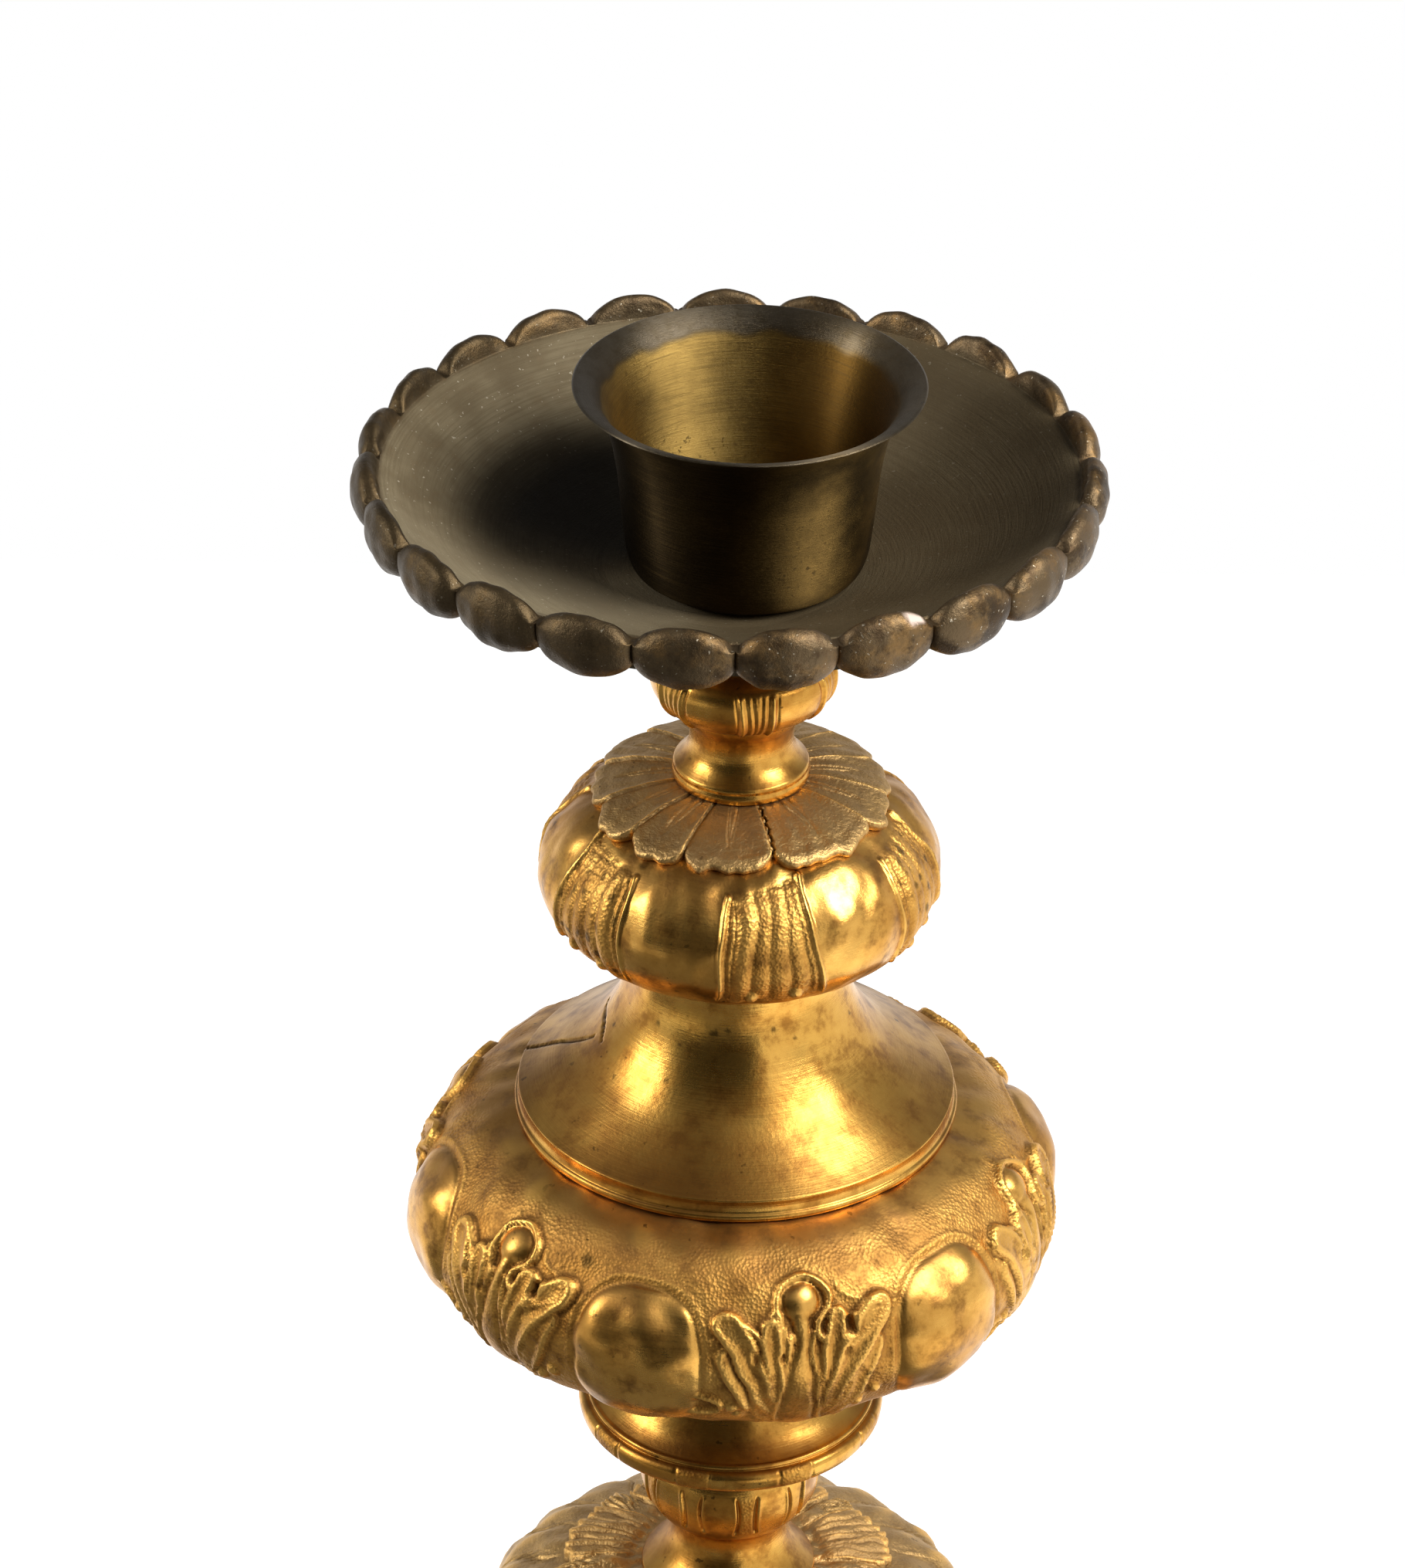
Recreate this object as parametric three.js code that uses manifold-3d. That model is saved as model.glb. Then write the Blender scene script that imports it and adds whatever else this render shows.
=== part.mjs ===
// Tall altar candlestick: turned and raised brass pieces stacked on one tie rod, with a loose pan and cup.
// Millimetres, +Z up, origin on the floor under the stem's axis, front towards -Y.
import * as THREE from "three";
import { mergeVertices } from "three/addons/utils/BufferGeometryUtils.js";
import Module from "manifold-3d";

const wasm = await Module();
wasm.setup();

// Play between pieces that stand on each other, and round the rod
const SEAT_GAP = 0.3;
const ROD_PLAY = 0.6;

// Facets round a full turn
const FINE = 36;
const MEDIUM = 28;
const COARSE = 20;

// The tie rod, what it passes through, and the stub of it that locates the pan and the cup
const ROD = { radius: 5, stub: 5, tail: 2.5 };
const ROD_BORE = ROD.radius + ROD_PLAY;
const SLEEVE_WALL = 2.6;
const TIE_NUT = { acrossFlats: 17, height: 8 };
const TIE_WASHER = { radius: 15, height: 2 };
const TOP_NUT = { acrossFlats: 16, height: 5, recessPlay: 1.2, recessDepth: 6.5 };

// Base: a hollow rim, a raised dome and a spun trumpet
const BASE_RIM = {
  height: 28, radius: 112, bellyHeight: 12, footInset: 8, topInset: 7, wall: 4,
  lowerFlange: 24, upperFlange: 17,
};
const RIM_FOOT = BASE_RIM.radius - BASE_RIM.footInset;
const RIM_TOP = BASE_RIM.radius - BASE_RIM.topInset;
const BASE_DOME = {
  height: 46.6, hemInset: 3, hemHeight: 3, waistInset: 8, waistHeight: 7,
  bellyInset: 5, bellyHeight: 18, ledge: 1, lap: 10, wall: 1.8,
};
const BASE_TRUMPET = {
  height: 44.4, flangeRadius: 60, flangeHeight: 4.6, neckRadius: 26, neckDrop: 6.4, wall: 1.6,
};
const STEM_RING = {
  height: 13.7, overhang: 2, bead: 3, beadHeight: 3.5, waist: 4, waistHeight: 9, topRadius: 29,
};
const BRIDGE = { inset: 6, width: 20, height: 5 };

// Three feet under the base rim, each a turned bun on a felt pad, held by a screw from above
const FEET = { count: 3, circle: RIM_FOOT - BASE_RIM.lowerFlange / 2 };
const PAD = { radius: 11, height: 2.5 };
const FOOT = {
  height: 25, bunRadius: 18.5, bunHeight: 10.5, soleRadius: 12, neckRadius: 9.5, neckDrop: 4,
  neckFillet: 1, seatRadius: 12, spareDepth: 2,
};
const SCREW = { radius: 2.5, play: 0.5, headRadius: 5, headHeight: 3.5, grip: 12 };

// Stem, from the lowest knop up to the cup
const LOWER_KNOP = { height: 50, bellyRadius: 64.5, bellyHeight: 26, overhang: 1, ledge: 1.5, wall: 1.8 };
const LOWER_NECK = { height: 19.4, footRadius: 21.5, waistRadius: 13.6, waistHeight: 14.6 };
const SMALL_KNOP = { height: 22.7, footRadius: 16, bellyRadius: 22.4, bellyHeight: 12, topRadius: 18 };
const DISH_COLLAR = {
  height: 25.2, rimRadius: 37, rimBottom: 8.3, rimTop: 11,
  grooveRadius: 34.4, grooveHeight: 13.1, topRadius: 25,
};
const VASE_KNOP = { height: 71.4, bellyRadius: 76, bellyHeight: 44.5, ledge: 0.6, lap: 8.5, wall: 1.8 };
const TRUMPET = {
  height: 44.7, flangeRadius: 52.5, flangeHeight: 4.8, neckRadius: 25.5, neckDrop: 6.9, wall: 1.6,
};
const UPPER_KNOP = {
  height: 41.8, bellyRadius: 46.8, bellyHeight: 19.5, overhang: 1.5, lap: 5.5, topRadius: 20, wall: 1.6,
};
const PETALS = { count: 12, radius: 34, thickness: 2.2, notch: 1.6, edge: 1, play: 0.5 };
const SPOOL = {
  height: 18, footRadius: 15.7, flange: 2.2, waistRadius: 11.9, waistHeight: 10.2, topRadius: 15.2,
};
const CAPITAL = {
  height: 33.9, bandRadius: 21.6, bandHeight: 5, bandTopRadius: 19.3, bandTop: 9.4,
  ledgeRadius: 14, ledgeHeight: 10.4, neckRadius: 12, neckHeight: 17, seatRadius: 19, seatThickness: 4,
};

// Candle cup, standing on the pan's floor; each spread is how far it is wider there than its floor
const CUP = {
  offCentre: 0.6, wall: 1.2, height: 45.6, floorRadius: 23, heelSpread: 4, heelHeight: 3.6,
  wallSpread: 6.3, wallHeight: 23, throatSpread: 9.2, throatDrop: 8.6, lipSpread: 16.5,
};

// Drip pan, hung a little off the axis, with shell-shaped lobes round its rim
const PAN = {
  offCentre: -3.5, wall: 1.4, floorPlay: 0.9, rimRadius: 77, rimRise: 23.3, rimSlope: 0.81,
  lobes: 23, firstNotch: 0.9, notchShare: 0.3, rootReach: 1.5, footReach: 2.1, topReach: 5.3, topRise: 6,
  shoulderRise: 4.5, lobeReach: 8, lobeDrop: 9.5, undercut: 1.4,
};

// Fullness of a curve: a quarter ellipse, and flatter ones
const ROUND = 0.55;
const SOFT = 0.5;
const LEAN = 0.38;
const LIP_RISE = 0.3;

// Finishes: colour, roughness, metalness
const GILT = [0xb8842c, 0.36, 1];
const AGED_GILT = [0x8a6a34, 0.52, 1];
const DARK_BRONZE = [0x4d4128, 0.55, 0.9];
const WORN_BRASS = [0x8c7442, 0.45, 1];
const STEEL = [0x77787a, 0.4, 1];
const FELT = [0x33402f, 0.95, 0];

// Outline points are radius and height
const at = (radius, height) => new THREE.Vector2(radius, height);

// Bezier stretch between two outline points, without its first point
function bezier(start, handleA, handleB, end, steps) {
  return new THREE.CubicBezierCurve(start, handleA, handleB, end).getPoints(steps).slice(1);
}

// Convex stretch that leaves an end level and turns upright at the belly
function swellOut(end, belly, fullness, steps = 3) {
  const reach = at(end.x + (belly.x - end.x) * fullness, end.y);
  const rise = at(belly.x, belly.y + (end.y - belly.y) * fullness);
  return bezier(end, reach, rise, belly, steps);
}

function swellIn(belly, end, fullness, steps = 4) {
  const rise = at(belly.x, belly.y + (end.y - belly.y) * fullness);
  const reach = at(end.x + (belly.x - end.x) * fullness, end.y);
  return bezier(belly, rise, reach, end, steps);
}

// Concave stretch from a wide lip up to an upright neck, or the other way round
function flareIn(lip, neck, fullness, steps = 4) {
  const along = at(lip.x + (neck.x - lip.x) * fullness, lip.y + (neck.y - lip.y) * LIP_RISE);
  const below = at(neck.x, neck.y + (lip.y - neck.y) * fullness);
  return bezier(lip, along, below, neck, steps);
}

function flareOut(neck, lip, fullness, steps = 4) {
  return flareIn(lip, neck, fullness, steps).slice(0, -1).reverse().concat(lip);
}

// Path moved sideways by a distance, to its left as it runs, with mitred corners
function offset(path, distance) {
  return path.map((point, i) => {
    const before = path[Math.max(i - 1, 0)];
    const after = path[Math.min(i + 1, path.length - 1)];
    const legs = [[before, point], [point, after]].filter(([a, b]) => a !== b);
    const normals = legs.map(([a, b]) => at(a.y - b.y, b.x - a.x).normalize());
    const miter = normals.reduce((sum, n) => sum.add(n), at(0, 0)).normalize();
    return miter.clone().multiplyScalar(distance / miter.dot(normals[0])).add(point);
  });
}

// Outline of a sheet: its outer path, then its inner side back again
const sheet = (path, wall) => path.concat(offset(path, wall).reverse());

// Start of a path that runs outwards, cut off where it reaches a radius
function within(path, radius) {
  const beyond = path.findIndex((point) => point.x >= radius);
  const last = path[beyond - 1];
  const share = (radius - last.x) / (path[beyond].x - last.x);
  return path.slice(0, beyond).concat(last.clone().lerp(path[beyond], share));
}

// Solid of revolution about Z, from a closed outline that runs up its outside
function turned(outline, facets) {
  return new THREE.LatheGeometry(outline.concat(outline[0]), facets).rotateX(Math.PI / 2);
}

function toSolid(geometry) {
  const bare = geometry.clone();
  bare.deleteAttribute("normal");
  bare.deleteAttribute("uv");
  const merged = mergeVertices(bare, 1e-4);
  const vertProperties = new Float32Array(merged.attributes.position.array);
  const triVerts = new Uint32Array(merged.index.array);
  return new wasm.Manifold(new wasm.Mesh({ numProp: 3, vertProperties, triVerts }));
}

function toGeometry(solid) {
  const mesh = solid.getMesh();
  const geometry = new THREE.BufferGeometry();
  geometry.setAttribute("position", new THREE.BufferAttribute(mesh.vertProperties, 3));
  geometry.setIndex(new THREE.BufferAttribute(mesh.triVerts, 1));
  return geometry;
}

// Flat plate standing on z = 0, with a round hole on its axis
function plate(shape, holeRadius, height) {
  shape.holes.push(new THREE.Path().absarc(0, 0, holeRadius, 0, 2 * Math.PI, true));
  return new THREE.ExtrudeGeometry(shape, { depth: height, bevelEnabled: false, curveSegments: COARSE });
}

function hexNut(acrossFlats, height) {
  const corner = acrossFlats / 2 / Math.cos(Math.PI / 6);
  const corners = Array.from({ length: 6 }, (_, i) => {
    const angle = (i * Math.PI) / 3;
    return at(corner * Math.cos(angle), corner * Math.sin(angle));
  });
  return plate(new THREE.Shape(corners), ROD.radius + SEAT_GAP, height);
}

const group = new THREE.Group();

// Adds one named piece, with its underside at a height
function add(name, geometry, [color, roughness, metalness], height, x = 0, parent = group) {
  const mesh = new THREE.Mesh(geometry, new THREE.MeshStandardMaterial({ color, roughness, metalness }));
  mesh.name = name;
  mesh.position.set(x, 0, height);
  parent.add(mesh);
}

// Turned piece with a bore for the rod, from the path of its outside
function bored(path, facets) {
  return turned([at(ROD_BORE, path[0].y), ...path, at(ROD_BORE, path.at(-1).y)], facets);
}

// Spacer tube on the rod between two heights
function sleeve(name, low, high) {
  const length = high - low - 2 * SEAT_GAP;
  const path = [at(ROD_BORE + SLEEVE_WALL, 0), at(ROD_BORE + SLEEVE_WALL, length)];
  add(name, bored(path, COARSE / 2), STEEL, low + SEAT_GAP);
}

// Heights of the undersides, stacked from the floor
const above = (underside, height) => underside + height + SEAT_GAP;
const zFoot = above(0, PAD.height);
const zRim = above(zFoot, FOOT.height);
const zDome = above(zRim, BASE_RIM.height);
const zBaseTrumpet = above(zDome, BASE_DOME.height);
const zStemRing = above(zBaseTrumpet, BASE_TRUMPET.height);
const zLowerKnop = above(zStemRing, STEM_RING.height);
const zLowerNeck = above(zLowerKnop, LOWER_KNOP.height);
const zSmallKnop = above(zLowerNeck, LOWER_NECK.height);
const zDish = above(zSmallKnop, SMALL_KNOP.height);
const zVase = above(zDish, DISH_COLLAR.height);
const zTrumpet = above(zVase, VASE_KNOP.height);
const zUpperKnop = above(zTrumpet, TRUMPET.height);
const zPetals = above(zUpperKnop, UPPER_KNOP.height);
const zSpool = above(zPetals, PETALS.thickness);
const zCapital = above(zSpool, SPOOL.height);
const zPan = above(zCapital, CAPITAL.height);
const zCup = above(zPan, PAN.wall);
const zBridge = zRim - SEAT_GAP - BRIDGE.height;
const zWasher = zBridge - SEAT_GAP - TIE_WASHER.height;
const zNut = zWasher - SEAT_GAP - TIE_NUT.height;

const cupHole = ROD_BORE + Math.abs(CUP.offCentre);
const panHole = ROD_BORE + Math.abs(PAN.offCentre);
const panFloor = CUP.floorRadius + Math.abs(CUP.offCentre - PAN.offCentre) + PAN.floorPlay;

function cup() {
  const spread = (reach, height) => at(CUP.floorRadius + reach, height);
  const heel = spread(CUP.heelSpread, CUP.heelHeight);
  const wall = spread(CUP.wallSpread, CUP.wallHeight);
  const throat = spread(CUP.throatSpread, CUP.height - CUP.throatDrop);
  const floor = spread(0, 0);
  const lip = spread(CUP.lipSpread, CUP.height - CUP.wall);
  const path = [
    at(cupHole, 0), floor, ...swellOut(floor, heel, SOFT, 2), wall, throat, ...flareOut(throat, lip, SOFT, 2),
    at(lip.x, CUP.height),
  ];
  add("candle_cup", turned(sheet(path, CUP.wall), MEDIUM), WORN_BRASS, zCup, CUP.offCentre);
}

// Share of a lobe's full size at an azimuth from the front, 0 in a notch and 1 on a crown
function lobeShare(azimuth) {
  const phase = (PAN.lobes * (azimuth - THREE.MathUtils.degToRad(PAN.firstNotch))) / 2;
  return Math.sqrt(Math.abs(Math.sin(phase)));
}

// Draws the rim's outer ring in between its lobes
function scallop(geometry, root) {
  const points = geometry.attributes.position;
  for (let i = 0; i < points.count; i += 1) {
    const radius = Math.hypot(points.getX(i), points.getY(i));
    const beyond = radius - root.x;
    if (beyond < SEAT_GAP) continue;
    const azimuth = Math.atan2(points.getX(i), -points.getY(i));
    const share = PAN.notchShare + (1 - PAN.notchShare) * lobeShare(azimuth);
    const scale = (root.x + beyond * share) / radius;
    const z = root.y + (points.getZ(i) - root.y) * share;
    points.setXYZ(i, points.getX(i) * scale, points.getY(i) * scale, z);
  }
  return geometry;
}

function pan() {
  const floor = at(panFloor, PAN.wall);
  const rim = at(PAN.rimRadius, PAN.wall + PAN.rimRise);
  const reach = (rim.x - floor.x) / 3;
  const spread = at(floor.x + reach, floor.y);
  const climb = at(rim.x - reach, rim.y - reach * PAN.rimSlope);
  const top = [at(panHole, PAN.wall), floor, ...bezier(floor, spread, climb, rim, 4)];
  const under = offset(top, -PAN.wall).slice(0, -1);
  const root = at(PAN.rimRadius + PAN.rootReach, rim.y);
  const lobe = [
    at(PAN.rimRadius + PAN.footReach, rim.y - PAN.lobeDrop),
    at(PAN.rimRadius + PAN.lobeReach - PAN.undercut, rim.y - PAN.lobeDrop / 2),
    at(PAN.rimRadius + PAN.lobeReach, rim.y),
    at(PAN.rimRadius + (PAN.topReach + PAN.lobeReach) / 2, rim.y + PAN.shoulderRise),
    at(PAN.rimRadius + PAN.topReach, rim.y + PAN.topRise),
  ];
  const outline = [...under, ...lobe, root, ...top.reverse()];
  add("drip_pan", scallop(turned(outline, PAN.lobes * 3), root), DARK_BRONZE, zPan, PAN.offCentre);
}

function capital() {
  const band = at(CAPITAL.bandRadius, CAPITAL.bandHeight);
  const bandTop = at(CAPITAL.bandTopRadius, CAPITAL.bandTop);
  const neck = at(CAPITAL.neckRadius, CAPITAL.neckHeight);
  const seat = at(CAPITAL.seatRadius, CAPITAL.height - CAPITAL.seatThickness);
  const ledge = at(CAPITAL.ledgeRadius, CAPITAL.ledgeHeight);
  const recess = TOP_NUT.acrossFlats / 2 / Math.cos(Math.PI / 6) + TOP_NUT.recessPlay;
  const recessFloor = CAPITAL.height - TOP_NUT.recessDepth;
  const foot = at(SPOOL.topRadius, 0);
  const path = [
    foot, ...swellOut(foot, band, SOFT), bandTop, ledge, ...flareIn(ledge, neck, SOFT, 3),
    ...flareOut(neck, seat, SOFT, 3), at(CAPITAL.seatRadius, CAPITAL.height),
    at(recess, CAPITAL.height), at(recess, recessFloor),
  ];
  add("capital", bored(path, COARSE), GILT, zCapital);
  add("top_nut", hexNut(TOP_NUT.acrossFlats, TOP_NUT.height), STEEL, zCapital + recessFloor + SEAT_GAP);
}

function spool() {
  const flange = at(SPOOL.footRadius, SPOOL.flange);
  const waist = at(SPOOL.waistRadius, SPOOL.waistHeight);
  const top = at(SPOOL.topRadius, SPOOL.height);
  const path = [
    at(SPOOL.footRadius, 0), flange, ...flareIn(flange, waist, SOFT, 3), ...flareOut(waist, top, SOFT, 3),
  ];
  add("neck_spool", bored(path, COARSE), GILT, zSpool);
}

// Outside of the upper knop, from its mouth up to its bored top plate
function upperKnopPath() {
  const mouth = at(TRUMPET.neckRadius - UPPER_KNOP.lap, 0);
  const foot = at(TRUMPET.neckRadius + UPPER_KNOP.overhang, 0);
  const belly = at(UPPER_KNOP.bellyRadius, UPPER_KNOP.bellyHeight);
  const top = at(UPPER_KNOP.topRadius, UPPER_KNOP.height);
  const plateEdge = at(ROD_BORE, UPPER_KNOP.height);
  return [mouth, foot, ...swellOut(foot, belly, SOFT), ...swellIn(belly, top, ROUND), plateEdge];
}

// Thin rosette that follows the knop's shoulder, its edge drawn in between the petals
function petalCollar() {
  const drop = at(0, -UPPER_KNOP.height - PETALS.play);
  const shoulder = offset(upperKnopPath().reverse(), PETALS.play).map((point) => point.add(drop));
  const underside = within(shoulder, PETALS.radius);
  const edge = underside.at(-1).clone().sub(underside.at(-2));
  const geometry = turned(sheet(underside, PETALS.thickness), PETALS.count * 2);
  const points = geometry.attributes.position;
  for (let i = 0; i < points.count; i += 1) {
    const radius = Math.hypot(points.getX(i), points.getY(i));
    if (radius < PETALS.radius - PETALS.edge) continue;
    const azimuth = Math.atan2(points.getX(i), -points.getY(i));
    const back = PETALS.notch * Math.abs(Math.cos((PETALS.count * azimuth) / 2));
    const scale = 1 - back / radius;
    const z = points.getZ(i) - (back * edge.y) / edge.x;
    points.setXYZ(i, points.getX(i) * scale, points.getY(i) * scale, z);
  }
  add("petal_collar", geometry, AGED_GILT, zPetals);
}

// Spun trumpet with an upright flange at its foot and a bored plate on top
function trumpet(name, size, height) {
  const flange = at(size.flangeRadius, size.flangeHeight);
  const neck = at(size.neckRadius, size.height - size.neckDrop);
  const path = [
    at(size.flangeRadius, 0), flange, ...flareIn(flange, neck, SOFT), at(size.neckRadius, size.height),
    at(ROD_BORE, size.height),
  ];
  add(name, turned(sheet(path, size.wall), MEDIUM), GILT, height);
}

function vaseKnop() {
  const foot = at(DISH_COLLAR.topRadius, 0);
  const belly = at(VASE_KNOP.bellyRadius, VASE_KNOP.bellyHeight);
  const shoulder = at(TRUMPET.flangeRadius + VASE_KNOP.ledge, VASE_KNOP.height);
  const throat = at(TRUMPET.flangeRadius - VASE_KNOP.lap, VASE_KNOP.height);
  const path = [
    at(ROD_BORE, 0), foot, ...swellOut(foot, belly, LEAN, 4), ...swellIn(belly, shoulder, SOFT, 3), throat,
  ];
  add("vase_knop", turned(sheet(path, VASE_KNOP.wall), MEDIUM), GILT, zVase);
}

function dishCollar() {
  const foot = at(SMALL_KNOP.topRadius, 0);
  const rim = at(DISH_COLLAR.rimRadius, DISH_COLLAR.rimBottom);
  const groove = at(DISH_COLLAR.grooveRadius, DISH_COLLAR.grooveHeight);
  const top = at(DISH_COLLAR.topRadius, DISH_COLLAR.height);
  const path = [
    foot, ...swellOut(foot, rim, LEAN), at(DISH_COLLAR.rimRadius, DISH_COLLAR.rimTop), groove,
    ...flareIn(groove, top, LEAN, 3),
  ];
  add("dish_collar", bored(path, MEDIUM), GILT, zDish);
}

function smallKnop() {
  const foot = at(SMALL_KNOP.footRadius, 0);
  const belly = at(SMALL_KNOP.bellyRadius, SMALL_KNOP.bellyHeight);
  const top = at(SMALL_KNOP.topRadius, SMALL_KNOP.height);
  const path = [foot, ...swellOut(foot, belly, SOFT), ...swellIn(belly, top, SOFT, 3)];
  add("small_knop", bored(path, COARSE), GILT, zSmallKnop);
}

function lowerNeck() {
  const foot = at(LOWER_NECK.footRadius, 0);
  const waist = at(LOWER_NECK.waistRadius, LOWER_NECK.waistHeight);
  const top = at(SMALL_KNOP.footRadius, LOWER_NECK.height);
  const path = [foot, ...flareIn(foot, waist, LEAN), ...flareOut(waist, top, SOFT, 2)];
  add("lower_neck", bored(path, COARSE), GILT, zLowerNeck);
}

function lowerKnop() {
  const foot = at(STEM_RING.topRadius + LOWER_KNOP.overhang, 0);
  const belly = at(LOWER_KNOP.bellyRadius, LOWER_KNOP.bellyHeight);
  const top = at(LOWER_NECK.footRadius + LOWER_KNOP.ledge, LOWER_KNOP.height);
  const path = [
    at(ROD_BORE, 0), foot, ...swellOut(foot, belly, SOFT), ...swellIn(belly, top, ROUND),
    at(ROD_BORE, LOWER_KNOP.height),
  ];
  add("lower_knop", turned(sheet(path, LOWER_KNOP.wall), MEDIUM), AGED_GILT, zLowerKnop);
}

function stemRing() {
  const footRadius = BASE_TRUMPET.neckRadius + STEM_RING.overhang;
  const foot = at(footRadius, 0);
  const bead = at(footRadius + STEM_RING.bead, STEM_RING.beadHeight);
  const beadTop = at(footRadius, 2 * STEM_RING.beadHeight);
  const waist = at(footRadius - STEM_RING.waist, STEM_RING.waistHeight);
  const top = at(STEM_RING.topRadius, STEM_RING.height);
  const path = [
    foot, ...swellOut(foot, bead, SOFT, 2), ...swellIn(bead, beadTop, SOFT, 2),
    waist, ...flareOut(waist, top, SOFT, 2),
  ];
  add("stem_ring", bored(path, COARSE), GILT, zStemRing);
}

function baseDome() {
  const hem = at(RIM_TOP - BASE_DOME.hemInset, BASE_DOME.hemHeight);
  const waist = at(hem.x - BASE_DOME.waistInset, BASE_DOME.waistHeight);
  const belly = at(hem.x - BASE_DOME.bellyInset, BASE_DOME.bellyHeight);
  const shoulder = at(BASE_TRUMPET.flangeRadius + BASE_DOME.ledge, BASE_DOME.height);
  const throat = at(BASE_TRUMPET.flangeRadius - BASE_DOME.lap, BASE_DOME.height);
  const path = [
    at(hem.x, 0), hem, waist, ...swellOut(waist, belly, SOFT, 2),
    ...swellIn(belly, shoulder, ROUND), throat,
  ];
  add("base_dome", turned(sheet(path, BASE_DOME.wall), FINE), GILT, zDome);
}

// Hollow rim open towards the axis, with a hole for each foot's screw in its lower flange
function baseRim() {
  const { height, wall } = BASE_RIM;
  const foot = at(RIM_FOOT, 0);
  const belly = at(BASE_RIM.radius, BASE_RIM.bellyHeight);
  const top = at(RIM_TOP, height);
  const lowerBore = foot.x - BASE_RIM.lowerFlange;
  const upperBore = top.x - BASE_RIM.upperFlange;
  const outline = [
    at(lowerBore, 0), foot, ...swellOut(foot, belly, SOFT), ...swellIn(belly, top, SOFT),
    at(upperBore, height), at(upperBore, height - wall), at(top.x - wall, height - wall),
    at(belly.x - wall, belly.y), at(foot.x - wall, wall), at(lowerBore, wall),
  ];
  const drillRadius = SCREW.radius + SCREW.play;
  let solid = toSolid(turned(outline, FINE));
  for (let i = 0; i < FEET.count; i += 1) {
    const drill = new THREE.CylinderGeometry(drillRadius, drillRadius, 4 * wall, COARSE / 2);
    drill.rotateX(Math.PI / 2).translate(FEET.circle, 0, 0).rotateZ(footAngle(i));
    solid = solid.subtract(toSolid(drill));
  }
  add("base_rim", toGeometry(solid), GILT, zRim);
}

// First foot at the front, the others a third of a turn apart
const footAngle = (i) => -Math.PI / 2 + (i * 2 * Math.PI) / FEET.count;

function footOutline() {
  const sole = at(FOOT.soleRadius, 0);
  const bun = at(FOOT.bunRadius, FOOT.bunHeight);
  const neck = at(FOOT.neckRadius, FOOT.height - FOOT.neckDrop);
  const seat = at(FOOT.seatRadius, FOOT.height);
  const hole = SCREW.radius + SCREW.play;
  const holeFloor = FOOT.height - SCREW.grip - FOOT.spareDepth;
  return [
    at(0, 0), sole, ...swellOut(sole, bun, SOFT), ...swellIn(bun, neck, SOFT, 3),
    at(seat.x, neck.y + FOOT.neckFillet), seat, at(hole, seat.y), at(hole, holeFloor), at(0, holeFloor),
  ];
}

function screwOutline() {
  const shank = BASE_RIM.wall + 2 * SEAT_GAP + SCREW.grip;
  return [
    at(0, 0), at(SCREW.radius, 0), at(SCREW.radius, shank), at(SCREW.headRadius, shank),
    at(SCREW.headRadius, shank + SCREW.headHeight), at(0, shank + SCREW.headHeight),
  ];
}

function feet() {
  for (let i = 0; i < FEET.count; i += 1) {
    const place = new THREE.Group();
    place.rotation.z = footAngle(i);
    group.add(place);
    const pad = new THREE.CylinderGeometry(PAD.radius, PAD.radius, PAD.height, COARSE);
    pad.rotateX(Math.PI / 2).translate(0, 0, PAD.height / 2);
    const zScrew = zFoot + FOOT.height - SCREW.grip;
    add(`foot_pad_${i + 1}`, pad, FELT, 0, FEET.circle, place);
    add(`foot_${i + 1}`, lathed(footOutline(), COARSE), GILT, zFoot, FEET.circle, place);
    add(`foot_screw_${i + 1}`, lathed(screwOutline(), COARSE / 2), STEEL, zScrew, FEET.circle, place);
  }
}

// Solid of revolution about Z, from an outline that starts and ends on the axis
const lathed = (outline, facets) => new THREE.LatheGeometry(outline, facets).rotateX(Math.PI / 2);

// Star of flat arms under the rim, between the feet, that the tie nut pulls up
function bridge() {
  const corners = [];
  const crotch = BRIDGE.width / 2 / Math.sin(Math.PI / FEET.count);
  for (let i = 0; i < FEET.count; i += 1) {
    const angle = footAngle(i) + Math.PI / FEET.count;
    const along = at(Math.cos(angle), Math.sin(angle));
    const across = at(-along.y, along.x).multiplyScalar(BRIDGE.width / 2);
    const tip = along.clone().multiplyScalar(RIM_FOOT - BRIDGE.inset);
    const inner = angle + Math.PI / FEET.count;
    corners.push(tip.clone().sub(across), tip.clone().add(across));
    corners.push(at(crotch * Math.cos(inner), crotch * Math.sin(inner)));
  }
  add("bridge_plate", plate(new THREE.Shape(corners), ROD_BORE, BRIDGE.height), STEEL, zBridge);
}

function tie() {
  const bottom = zNut - ROD.tail;
  const length = zCup + CUP.wall + ROD.stub - bottom;
  const rod = new THREE.CylinderGeometry(ROD.radius, ROD.radius, length, COARSE).rotateX(Math.PI / 2);
  add("tie_rod", rod.translate(0, 0, length / 2), STEEL, bottom);
  const rim = [at(TIE_WASHER.radius, 0), at(TIE_WASHER.radius, TIE_WASHER.height)];
  add("tie_washer", bored(rim, COARSE), STEEL, zWasher);
  add("tie_nut", hexNut(TIE_NUT.acrossFlats, TIE_NUT.height), STEEL, zNut);
}

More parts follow.
